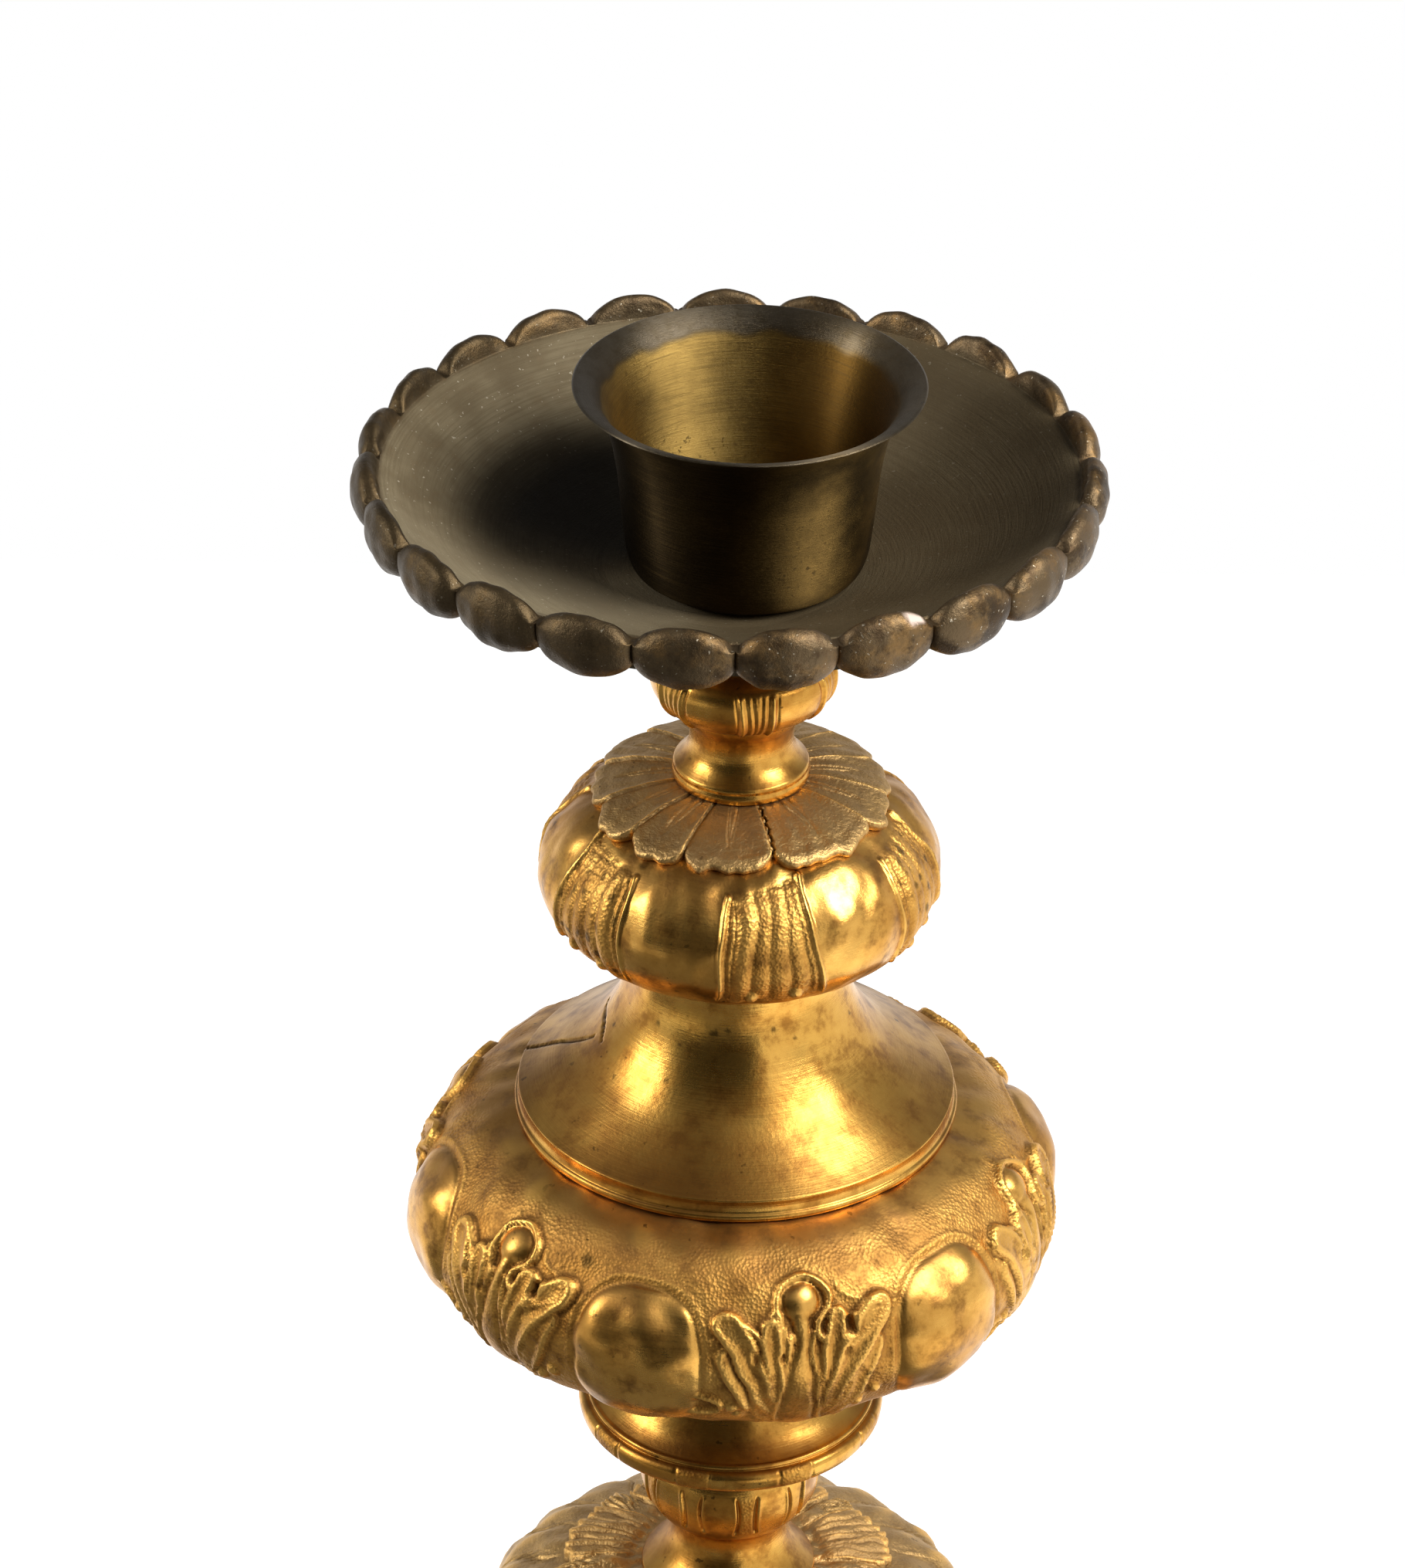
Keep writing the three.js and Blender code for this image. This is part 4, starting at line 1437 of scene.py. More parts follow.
@dataclass
class PetalCollar(Turning):
    """The cast collar of broad ragged petals that lies on the upper knop's shoulder.

    Fields:
        height: how thick it is at the bore.
        notches: azimuths of the notches between the petals.
        reach: mean radius of the petals' tips.
        notch: how much shorter it is in a notch.
        spool: radius of the spool that stands on it.
        inner: radius inside which it is round.
        crown: radius at which the shoulder starts to fall.
        fall: how fast it falls, in millimetres per square millimetre.
        clearance: its height above the shoulder.
    """

    node: str = "petal_collar"
    columns: int = 900
    spacing: float = 0.42
    band: Point = (8.0, 34.0)
    thin: int = 4
    uneven: Uneven = (0.1, 43, 5)
    slot: Slot = Slot.AGED
    finish: Finish = Finish.CAST
    height: float = 2.2
    notches: tuple[float, ...] = (
        -167.0, -138.0, -107.0, -76.0, -49.7, -23.7, 13.0, 62.0, 86.0, 112.0, 138.0, 164.0,
    )
    reach: float = 34.6
    notch: float = 3.4
    spool: float = 15.7
    crack: float = 15.0
    inner: float = 16.0
    crown: float = 8.0
    fall: float = 0.0098
    clearance: float = 0.3

    def petal(self, azimuth: Array) -> tuple[Array, Array]:
        """Where a place lies across its petal.

        Args:
            azimuth: the places, in degrees.

        Returns:
            The share from -1 to 1 across the petal, and its number.
        """
        edges = np.array([*self.notches, self.notches[0] + 360])
        turn = (azimuth - edges[0]) % 360 + edges[0]
        index = np.clip(np.searchsorted(edges, turn, side="right") - 1, 0, len(self.notches) - 1)
        low, high = edges[index], edges[index + 1]
        return (turn - low) / (high - low) * 2 - 1, index

    def ragged_edge(self, azimuth: Array) -> Array:
        """Radius of the ragged edge.

        Args:
            azimuth: the places, in degrees.

        Returns:
            The radii in millimetres.
        """
        across, index = self.petal(azimuth)
        rng = np.random.default_rng(41)
        sizes = rng.uniform(-0.8, 0.6, len(self.notches))
        lean = rng.uniform(-0.35, 0.35, len(self.notches))
        round_tip = np.clip(1 - np.abs(across) ** 3.0, 0, 1) ** 0.6
        slant = lean[index] * across * 2.0 * round_tip
        angle = np.radians(azimuth)
        rag = np.zeros_like(angle)
        for k, size, phase in zip((17, 29, 43, 67), (0.4, 0.3, 0.16, 0.08), rng.uniform(0, 6, 4)):
            rag = rag + size * np.cos(k * angle + phase)
        return self.reach - self.notch * (1 - round_tip) + sizes[index] * round_tip + slant + rag

    def shape(self, azimuth: Array, radius: Array, height: Array) -> tuple[Array, Array]:
        """Draws the collar's edge in to the ragged outline, down along the shoulder.

        Args:
            azimuth: the columns' azimuths.
            radius: the turned radii.
            height: the turned heights.

        Returns:
            The ragged radii and heights.
        """
        share = np.clip((radius - self.inner) / (self.reach - self.inner), 0, None)
        ragged = self.inner + share * (self.ragged_edge(azimuth) - self.inner)
        new = np.where(radius > self.inner, ragged, radius)
        return new, height - self.fall * (new - radius) * (new + radius - 2 * self.crown)

    def chase(self, skin: Skin) -> Relief:
        """Lays each petal's edge over its neighbour, and cuts the fine grooves and one crack.

        Args:
            skin: its outside.

        Returns:
            What is chased on it.
        """
        relief = super().chase(skin)
        across, index = self.petal(skin.azimuth)
        half = np.radians(np.diff([*self.notches, self.notches[0] + 360]))[index] / 2 * skin.radius
        x = across * half
        beside = (1 - np.abs(across)) * half
        out = (skin.radius - self.spool) / (self.reach - self.spool)
        on_top = smoothstep(14.0, 16.2, skin.radius) * (skin.arc < 32.5)
        over = (across > 0).astype(float)
        parting = over * 0.6 * np.exp(-beside / 0.8) - (1 - over) * 0.7 * np.exp(-beside / 0.6)
        dished = 0.28 * np.abs(across) ** 2 * out
        rng = np.random.default_rng(47)
        spread = rng.uniform(0.12, 0.3, len(self.notches))[index]
        veins = np.zeros_like(x)
        for side in (-1, 1):
            line = side * spread * half * np.clip(1 - out / 0.7, 0, 1) ** 0.8
            veins = veins - 0.3 * bell(x - line, 0.36)
        veins = veins * smoothstep(0.78, 0.55, out)
        rim = 0.18 * bell(out - 0.92, 0.055)
        way = np.radians(skin.azimuth_from(self.crack + 1.2 * (0.5 - out) * 2)) * skin.radius
        wander = 0.22 * np.sin(skin.arc * 1.5) + 0.12 * np.sin(skin.arc * 3.7 + 1)
        crack = bell(way + wander, 0.24) * smoothstep(14, 16, skin.radius)
        relief.lift = relief.lift + on_top * (parting + dished + veins + rim - 1.2 * crack)
        relief.mark = on_top * crack
        relief.grain = 0.35 * np.ones_like(relief.lift)
        return relief

    def zero(self) -> float:
        """Height of the outlines' zero: a hair above the knop's shoulder."""
        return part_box("upper_knop")[1].z / MM + self.clearance

    def runs(self) -> tuple[Runs, Runs]:
        """The petals' top, their lip and their underside.

        Returns:
            The runs down the outside, and none up the inside, which is a straight bore.
        """
        return chain(
            (BORE, self.height),
            ((15.0, self.height), (20.0, 1.8), (25.0, 0.9), (30.0, -0.55), (self.reach - 0.4, -2.35)),
            ((self.reach + 0.25, -2.9), (self.reach + 0.2, -3.9), (self.reach - 0.7, -4.6)),
            ((30.0, -3.0), (25.0, -1.6), (20.0, -0.4), (15.0, 0.0), (BORE, 0.0)),
        ), ()


@dataclass
class RibbedKnop(Turning):
    """The upper knop: sunk ribbed panels between smooth swellings."""

    node: str = "upper_knop"
    outside: Runs = chain(
        (BORE, 41.8), ((17, 41.8), (20, 41.2)),
        ((25, 40.4), (30, 38.9), (38, 34.4), (43.6, 27.8), (46, 20.3), (45.5, 14.6), (42, 8.6),
         (36.3, 4.2), (31, 1.8), (27, 0.2)),
        ((26, 0), (20, 0)),
    )
    inside: Runs = chain(
        (20, 0), (20, 1.6),
        ((26, 1.8), (35, 5.6), (41, 11), (43.4, 19), (41, 27), (34, 34.4), (25, 38.6),
         (18, 40.2)),
        (BORE, 40.2), (BORE, 41.8),
    )
    columns: int = 640
    spacing: float = 0.52
    inner_spacing: float = 6.0
    first: int = 1
    band: Point = (11.0, 52.0)
    uneven: Uneven = (0.2, 53, 11)
    slot: Slot = Slot.AGED
    finish: Finish = Finish.CHASED
    panels: int = 6
    first_panel: float = 9.0
    recess: float = 0.55
    swelling: float = 0.8
    left_border: Run = ((-9.1, 20.2), (-10.8, 26.1), (-11.9, 32.1), (-12.1, 37.5), (-12.4, 46.8))
    left_inner: Run = ((-7.9, 20.9), (-8.9, 26.8), (-9.7, 32), (-10.2, 38.3), (-10.6, 46.4))
    right_border: Run = ((8.6, 15.7), (8.9, 24.4), (10.2, 29), (11.6, 34.5), (12.7, 39.8), (13.3, 46.5))
    right_inner: Run = ((7.2, 18), (7.6, 24.4), (8.9, 29.4), (10.2, 34.8), (11.2, 40), (11.8, 46.1))
    ribs: tuple[Stroke, ...] = (
        (((-5.9, 20.4), (-5.3, 26), (-6.1, 30.4), (-6.5, 34.9), (-7.2, 40), (-7.7, 47.4)), 5, 1.05),
        (((-1.3, 20.5), (-1.8, 29), (-2.1, 35), (-2.5, 46)), 4.4, 0.5),
        (((2.4, 18.6), (2.4, 27.9), (2.5, 35.4), (2.9, 46.6)), 4.8, 0.55),
        (((6, 18.1), (6, 28.5), (7, 36.1), (8.2, 46)), 4, 0.5),
    )
    beads: Run = ((-4.4, 46), (7, 46))

    def chase(self, skin: Skin) -> Relief:
        """Chases the panels, their borders, ribs and beads.

        Args:
            skin: its outside.

        Returns:
            What is chased on it.
        """
        x, index = skin.fold(self.first_panel, self.panels)
        y = skin.arc * np.ones_like(x)
        rng = np.random.default_rng(55)
        widen = (1 + rng.uniform(-0.08, 0.1, self.panels))[index]
        turned = np.where(index % 3 == 2, -1.0, 1.0)
        x = turned * x * widen + 0.22 * skin.waver(51, 13)
        left = np.interp(y, *np.array(self.left_border)[:, ::-1].T)
        right = np.interp(y, *np.array(self.right_border)[:, ::-1].T)
        rows = smoothstep(16.5, 20.5, y + 0.25 * x) * smoothstep(50.5, 48.0, y)
        inside = within(x, left - 0.5, left + 0.7, right - 0.7, right + 0.5) * rows
        panel = np.zeros_like(x)
        for rib in self.ribs:
            panel = np.maximum(panel, ridge(x, y, *rib))
        crossing = np.abs(np.sin((y - 19.6) * math.pi / 1.9)) ** 0.5 - 1
        squares = 0.25 * crossing * smoothstep(26.0, 23.5, y) * smoothstep(-3.2, -2.4, x)
        panel = panel + squares
        borders = np.zeros_like(x)
        for line, width, tall, share in (
            (self.left_border, 1.8, 0.8, 1.0), (self.right_border, 2.0, 0.95, 1.0),
            (self.left_inner, 1.4, 0.8, 0.8), (self.right_inner, 1.4, 0.8, 0.8),
        ):
            borders = np.maximum(borders, share * ridge(x, y, line, width, tall))
        for place in self.beads:
            panel = np.maximum(panel, dome(x, y, place, (1.9, 1.9), 1.5))
        between = smoothstep(0, 8, np.maximum(left - x, x - right))
        body = within(y, 2, 20, 38, 50)
        relief = super().chase(skin)
        relief.lift = relief.lift + 0.07 * skin.waver(54, 5)
        sunk = inside * (panel - self.recess) + borders * (1 - 0.3 * inside)
        relief.lift = relief.lift * (1 - inside) + sunk + self.swelling * between * body
        relief.grain = np.clip(0.9 * inside + 0.06, 0, 1)
        old = np.where(index % 2 == 1, 1.0, 0.15) * inside * smoothstep(0.5, 1.3, skin.waver(58, 3, 14))
        relief.mark = 0.8 * old
        relief.stain(skin, ((-38.0, 16.5, 1.6),), 57)
        return relief


@dataclass
class EggAndLeaf:
    """Chasing of eggs and acanthus leaves by turns, as on the vase knop and the base's dome.

    Fields:
        count: how many eggs there are, and how many leaves.
        first_leaf: the azimuth of one leaf's middle.
        start: the arc at which the ornament's own arcs start.
        size: how large the ornament is beside the vase knop's.
    """

    count: int = 6
    first_leaf: float = 12.3
    start: float = 0.0
    size: float = 1.0
    egg_middle: float = 39.0
    egg_half: tuple[float, float, float] = (15.6, 20.0, 22.0)
    egg_lift: float = 3.8
    seed: int = 61
    hood: Run = (
        (-5.1, 26), (-5.5, 22.7), (-4.9, 19.3), (-3.4, 16.9), (-0.8, 15.6), (2.1, 15.8), (4.6, 16.9),
        (6.5, 19.1), (7.1, 21.6), (6.1, 23.9), (4.5, 25.4), (3.5, 27.2), (3.6, 29.4), (4.9, 30.8),
        (6.1, 29.3), (6.5, 26.8), (7.3, 25.1), (9, 24.8), (10.7, 26),
    )
    stem: tuple[Run, Run] = (
        ((-1.6, 24), (-1.7, 28.9), (-2.2, 32.4), (-3.3, 38.2), (-4.4, 44.9), (-4.8, 56)),
        ((1.9, 24), (1.4, 29), (1.5, 34.6), (2, 41.1), (2.6, 47), (3.3, 56)),
    )
    blades: tuple[Stroke, ...] = (
        (((-7.6, 50), (-11.2, 40), (-14, 32), (-16.9, 26.6)), 8.8, 2.2),
        (((-6, 44), (-7, 34), (-7.4, 27.2)), 5.6, 2.1),
        (((-4.4, 40), (-4.7, 32), (-5.7, 24.6)), 3.6, 1.7),
        (((-7.5, 56), (-12, 47), (-15.2, 40), (-17.6, 34.5)), 6.8, 1.5),
        (((5.2, 46), (6.8, 34), (8.4, 26.4)), 5.8, 2.1),
        (((6.8, 50), (10.4, 37), (14.2, 30.8), (18, 26.4)), 9.4, 2.4),
        (((8, 56), (13, 46), (15.2, 39), (17, 34)), 6.6, 1.5),
    )
    rims: tuple[Stroke, ...] = (
        (((-18.6, 25.2), (-15.1, 24.8), (-13, 25.7), (-11.1, 27.5), (-10.1, 29.4), (-9.2, 31.6)), 1.5, 2.1),
        (((-18.6, 25.2), (-18.3, 27.8), (-17.2, 31.8), (-15.7, 33.8), (-14.2, 35.2)), 1.4, 1.8),
        (((-9.2, 27.6), (-8.2, 25.9), (-6.7, 25.9), (-6.1, 27.8), (-6, 30.3)), 1.2, 2),
        (((10.8, 33), (13.2, 31.3), (15.9, 29.9), (18.7, 27.6), (19.2, 25.1), (15.7, 25), (12.7, 26.3)),
         1.5, 2.3),
        (((-20.6, 31), (-18.4, 36.6), (-16.2, 41.4), (-14.6, 46.7), (-14.1, 54)), 3, 0.7),
        (((-29, 48.8), (-23.4, 46.4), (-19.3, 48.1), (-19, 50.9), (-23, 51.9), (-28, 51.3)),
         1.7, 1.1),
        (((8.7, 18.1), (9.6, 20.5), (11.9, 22.1), (16.1, 23), (21.9, 24.4)), 1.2, 0.45),
    )
    drops: tuple[Bump, ...] = (
        (-13.9, 36.8, 1.4, 2.5, 1.9), (14.6, 39, 1.5, 2.5, 1.5), (18, 49, 1.6, 1.6, 1.2),
        (14.1, 52.6, 1.6, 1.6, 1.2), (-16.6, 49, 1.7, 1.7, 1.4), (-15, 51.6, 1.4, 1.4, 1.2),
    )
    holes: tuple[Bump, ...] = (
        (4.8, 28.3, 1.1, 2.1, 2.1), (11.4, 28.5, 1.1, 2, 2), (-10.9, 33.5, 0.9, 1.9, 1.3),
        (-5, 34.5, 0.7, 1.5, 0.9), (10, 34.5, 0.8, 1.6, 0.9),
    )
    crease: Run = ((-17.8, 32.8), (-15.8, 37.6), (-13.5, 42.5), (-12.1, 48.5), (-11.8, 55))

    def egg(self, x: Array, y: Array) -> tuple[Array, Array]:
        """One smooth egg in its raised border.

        Args:
            x: distance round the surface from the egg's middle.
            y: distance down the surface.

        Returns:
            How far it stands out, and the share of the place that it takes.
        """
        wide, above, below = self.egg_half
        y = y - self.egg_middle
        tall = np.where(y < 0, above, below)
        out = ((np.abs(x) / wide) ** 2.3 + (np.abs(y) / tall) ** 2.3) ** (1 / 2.3)
        body = self.egg_lift * np.clip(1 - out**2, 0, 1) ** 0.7
        border = 0.45 * bell(out - 1.1, 0.04) * smoothstep(12, -2, y)
        return body + border, smoothstep(1.04, 0.98, out)

    def leaf(self, x: Array, y: Array) -> tuple[Array, Array]:
        """One acanthus leaf with its round knob and hood.

        Args:
            x: distance round the surface from the leaf's middle.
            y: distance down the surface.

        Returns:
            How far it stands out, and the share of the place that is smooth.
        """
        half = np.interp(y, (23, 27, 34, 42, 50, 60), (4, 15, 16.5, 14.5, 13, 12))
        body = smoothstep(half + 1.5, half - 3.5, np.abs(x - 0.4)) * smoothstep(28, 37, y)
        angle = np.arctan2(x, 64 - y)
        flutes = 0.2 * np.cos(angle * 34) + 0.08 * np.cos(angle * 71 + 1.3)
        total = body * (1.0 + flutes)
        for stroke in self.blades:
            total = np.maximum(total, blade(x, y, *stroke))
        for rim in self.rims:
            total = np.maximum(total, ridge(x, y, *rim))
        far, _ = distance_along(x, y, self.crease)
        total = total - 0.7 * bell(far, 0.7)
        for a, b, wide, tall, deep in self.holes:
            total = total - dome(x, y, (a, b), (wide, tall), deep)
        left = np.interp(y, *np.array(self.stem[0])[:, ::-1].T)
        right = np.interp(y, *np.array(self.stem[1])[:, ::-1].T)
        across = (x - (left + right) / 2) / ((right - left) / 2)
        stem = smoothstep(1.15, 0.95, np.abs(across)) * smoothstep(20, 24, y)
        panel = 1.35 - 0.3 * across**2
        total = total * (1 - stem) + np.maximum(panel, 0.3) * stem
        for line in self.stem:
            far, _ = distance_along(x, y, line)
            total = total - 0.5 * bell(far, 0.5) * smoothstep(27, 31, y)
            shift = -1.0 if line[-1][0] < 0 else 1.0
            beside = tuple((a + shift, b) for a, b in line[1:])
            total = np.maximum(total, ridge(x, y, beside, 1.5, 1.5))
        total = np.maximum(total, ridge(x, y, self.hood, 1.9, 1.9))
        spoon = np.clip(1 - (np.abs(x - 0.2) / 4.9) ** 2 - (np.abs(y - 21.2) / 5.0) ** 2, 0, 1)
        total = np.maximum(total, 2.1 * spoon**0.7)
        for a, b, wide, tall, deep in self.drops:
            total = np.maximum(total, dome(x, y, (a, b), (wide, tall), deep))
        return total, np.maximum(smoothstep(5.2, 4.4, np.hypot(x - 0.3, y - 20.6)), 0.35 * stem)

    def chase(self, skin: Skin) -> Relief:
        """Chases the whole band.

        Args:
            skin: its outside.

        Returns:
            What is chased on it.
        """
        relief = Relief.plain(skin, 0.24, self.seed, 13)
        x, index = skin.fold(self.first_leaf, self.count)
        y = (skin.arc - self.start) / self.size * np.ones_like(x)
        rng = np.random.default_rng(self.seed)
        lean = rng.uniform(-0.05, 0.05, self.count)[index] * (index > 0)
        shift = rng.uniform(-0.8, 0.8, self.count)[index] * (index > 0)
        swell = 1 + rng.uniform(-0.06, 0.06, self.count)[index] * (index > 0)
        x_leaf = (x / self.size + shift + (y - 40) * lean) * swell + 0.25 * skin.waver(self.seed + 1, 7)
        y_leaf = y + shift + 0.25 * skin.waver(self.seed + 2, 7)
        leaf, smooth = self.leaf(x_leaf, y_leaf)
        x_egg, _ = skin.fold(self.first_leaf + 180 / self.count, self.count)
        egg, on_egg = self.egg(x_egg / self.size, y + 0.4 * skin.waver(self.seed + 4, 20))
        low = smoothstep(66, 58, y)
        ground = -0.7 * smoothstep(10, 24, y)
        on_leaf = smoothstep(0.3, 1.4, leaf)
        chased = np.where(on_egg > 0.5, np.maximum(egg, leaf * (np.abs(x_leaf) > 17)), np.maximum(leaf, egg))
        dents = on_egg * (0.22 * skin.waver(self.seed + 5, 9) + 0.04 * skin.waver(self.seed + 6, 4))
        relief.lift = relief.lift + (ground + chased * self.size + dents) * low
        blotches = smoothstep(0.9, 1.8, skin.waver(self.seed + 7, 8)) * smoothstep(34, 50, y)
        relief.mark = 0.4 * on_egg * blotches * low
        pricked = smoothstep(7, 13, y + 1.5 * skin.waver(self.seed + 3, 12))
        relief.grain = pricked * low * (1 - on_egg) * (1 - 0.35 * on_leaf) * (1 - smooth)
        return relief


@dataclass
class VaseKnop(Turning):
    """The large hollow knop, chased with eggs and leaves."""

    node: str = "vase_knop"
    outside: Runs = chain(
        (45, 71.4), (51.5, 71.4),
        ((58, 69.5), (66, 64.7), (72, 57.9), (75.4, 48.7), (75.2, 39.5), (71, 29.5), (62.6, 22.8),
         (52, 15.8), (42, 9.8), (34, 4.5), (25, 0)),
        (BORE, 0),
    )
    inside: Runs = chain(
        (BORE, 0), (BORE, 1.8),
        ((24, 1.8), (33, 6.4), (42, 12), (52, 18.2), (62, 25), (69.6, 32), (73, 42),
         (72, 50), (68, 58), (60, 66), (52, 69.2)),
        (45, 69.6), (45, 71.4),
    )
    columns: int = 700
    spacing: float = 0.62
    inner_spacing: float = 9.0
    first: int = 1
    band: Point = (14.0, 58.0)
    thin: int = 6
    finish: Finish = Finish.CHASED
    stains: Spots = (
        (-30.5, 17, 2.2), (-54, 11.5, 1), (-58, 8, 0.8), (-50, 14, 0.8), (131, 20, 2.4),
        (-150, 14, 1.8),
    )

    def chase(self, skin: Skin) -> Relief:
        """Chases the ornament and adds a few dark stains.

        Args:
            skin: its outside.

        Returns:
            What is chased on it.
        """
        relief = EggAndLeaf().chase(skin)
        relief.stain(skin, self.stains, 401)
        return relief


@dataclass
class DishCollar(Turning):
    """The turned dish under the vase knop, with pairs of ticks on its rim."""

    node: str = "dish_collar"
    outside: Runs = chain(
        (BORE, 25.2), (25, 25.2),
        ((26.2, 22.6), (28.2, 19.4), (31, 15.8), (34, 13.7)),
        ((34.9, 13.5), (35, 12.4)),
        ((36.2, 12.2), (37, 11.2), (37.1, 9.4), (36.8, 8), (35.4, 6.8)),
        ((33.4, 6.2), (28, 4.4), (23, 2.6), (20, 1.3), (18, 0)),
        (BORE, 0),
    )
    columns: int = 540
    spacing: float = 0.5
    first: int = 3
    uneven: Uneven = (0.05, 71, 14)
    pairs: int = 9
    first_pair: float = 25.5
    half_gap: float = 4.3
    tick_width: float = 0.3
    tick_depth: float = 0.3

    def chase(self, skin: Skin) -> Relief:
        """Cuts the pairs of ticks and pricks the metal between them.

        Args:
            skin: its outside.

        Returns:
            What is chased on it.
        """
        relief = super().chase(skin)
        x, _ = skin.fold(self.first_pair, self.pairs)
        on_rim = within(skin.arc, 0.6, 1.6, 6.2, 7.4) * np.ones_like(x)
        ticks = -self.tick_depth * bell(np.abs(x) - self.half_gap, self.tick_width)
        relief.lift = relief.lift + ticks * on_rim
        relief.grain = smoothstep(4.0, 3.5, np.abs(x)) * on_rim
        return relief


@dataclass
class SmallKnop(Turning):
    """The small turned knop, with ticks over its belly in pairs."""

    node: str = "small_knop"
    outside: Runs = chain(
        (BORE, 22.7), (17.8, 22.7),
        ((20.2, 20.6), (21.8, 17.2), (22.2, 12.6), (21.6, 8.2), (19.7, 3.6), (18, 1.4), (16.2, 0)),
        (BORE, 0),
    )
    columns: int = 600
    spacing: float = 0.4
    first: int = 1
    uneven: Uneven = (0.05, 73, 10)
    pairs: int = 10
    first_pair: float = 11.3
    tick_depth: float = 0.8

    def chase(self, skin: Skin) -> Relief:
        """Cuts the pairs of ticks and pricks the metal between them.

        Args:
            skin: its outside.

        Returns:
            What is chased on it.
        """
        relief = super().chase(skin)
        x, index = skin.fold(self.first_pair, self.pairs)
        y = skin.arc * np.ones_like(x)
        long = within(y, 7.0, 8.6, 19.4, 20.6)
        bow = 2.5 - 0.5 * np.sin(np.clip((y - 8) / 12, 0, 1) * math.pi)
        wide = 0.2 + 0.28 * smoothstep(7, 12, y)
        ticks = -self.tick_depth * bell(np.abs(x) - bow, wide) * long
        sides = 0.3 * bell(np.abs(x) - bow - 0.8, 0.45) * long
        relief.lift = relief.lift + ticks + sides
        relief.grain = smoothstep(2.2, 1.8, np.abs(x)) * long * np.where(index % 2 == 0, 1.0, 0.35)
        return relief


@dataclass
class ShellKnop(Turning):
    """The lower knop: ribbed shells round the neck, with smooth swellings outside them."""

    node: str = "lower_knop"
    outside: Runs = chain(
        (BORE, 50), (23, 50),
        ((30, 48.8), (38, 46.6), (45.6, 43.8), (52, 40.4), (57.2, 36.4), (60.8, 31.6), (62.4, 26),
         (61.8, 19.6), (58.4, 13), (51.8, 7.2), (43, 3.2), (35, 1), (30, 0)),
        (BORE, 0),
    )
    inside: Runs = chain(
        (BORE, 0), (BORE, 1.8),
        ((30, 1.8), (43, 5.2), (52, 9.6), (58, 16), (60, 24), (57, 33), (48, 40.6),
         (36, 45.4), (22, 48.2)),
        (BORE, 48.2), (BORE, 50),
    )
    columns: int = 660
    spacing: float = 0.52
    inner_spacing: float = 9.0
    first: int = 1
    band: Point = (-1.0, 28.0)
    thin: int = 5
    uneven: Uneven = (0.3, 83, 9)
    slot: Slot = Slot.AGED
    finish: Finish = Finish.CAST
    shells: int = 8
    first_shell: float = -113.0
    half_width: float = 17.0
    rib_step: float = 4.4
    reach: float = 18.8
    swellings: int = 24

    def chase(self, skin: Skin) -> Relief:
        """Chases the shells with their ribs and ragged edges, the lumps between them and the swellings.

        Args:
            skin: its outside.

        Returns:
            What is chased on it.
        """
        x, index = skin.fold(self.first_shell, self.shells)
        y = skin.arc * np.ones_like(x)
        turn = np.degrees(x / skin.radius) + 0.8 * skin.waver(81, 6)
        y = y + 0.5 * skin.waver(82, 6)
        crest = np.abs(np.cos(math.pi * turn / self.rib_step)) ** 0.6
        rag = 0.9 * crest + 0.5 * np.cos(turn / 2.3 + index)
        edge = self.reach + rag - 2.6 * (turn / self.half_width) ** 2
        across = smoothstep(self.half_width + 0.5, self.half_width - 0.7, np.abs(turn))
        inside = smoothstep(edge + 0.25, edge - 0.4, y) * across
        shell = inside * (0.7 + 0.055 * np.clip(y, 0, 30) + 1.0 * crest * smoothstep(0, 7, y))
        aside = (180 / self.shells - np.abs(turn)) / 5.0
        curl = 0.4 * np.cos(y * 1.3 + 3 * turn) * smoothstep(8, 12, y)
        lump = (1.5 + curl) * np.clip(1 - aside**2, 0, 1) ** 0.6
        lump = lump * smoothstep(21.5, 20.0, y + rag) * smoothstep(1, 6, y)
        step = 360 / self.swellings
        winding = 0.22 * skin.arc + 1.2 * skin.waver(84, 16)
        across = np.abs((skin.azimuth - self.first_shell + winding) % step / step * 2 - 1)
        swelling = (1.7 * (1 - across**2.2) - 0.6) + 0.5 * bell(across - 0.88, 0.07)
        beyond = within(y, 18, 27, 72, 86)
        relief = super().chase(skin)
        shown = smoothstep(0.5, 3.0, y)
        relief.lift = relief.lift + (np.maximum(shell, lump) + swelling * beyond * (1 - inside)) * shown
        relief.grain = np.clip(0.5 * inside + 0.4, 0, 1) * shown
        return relief


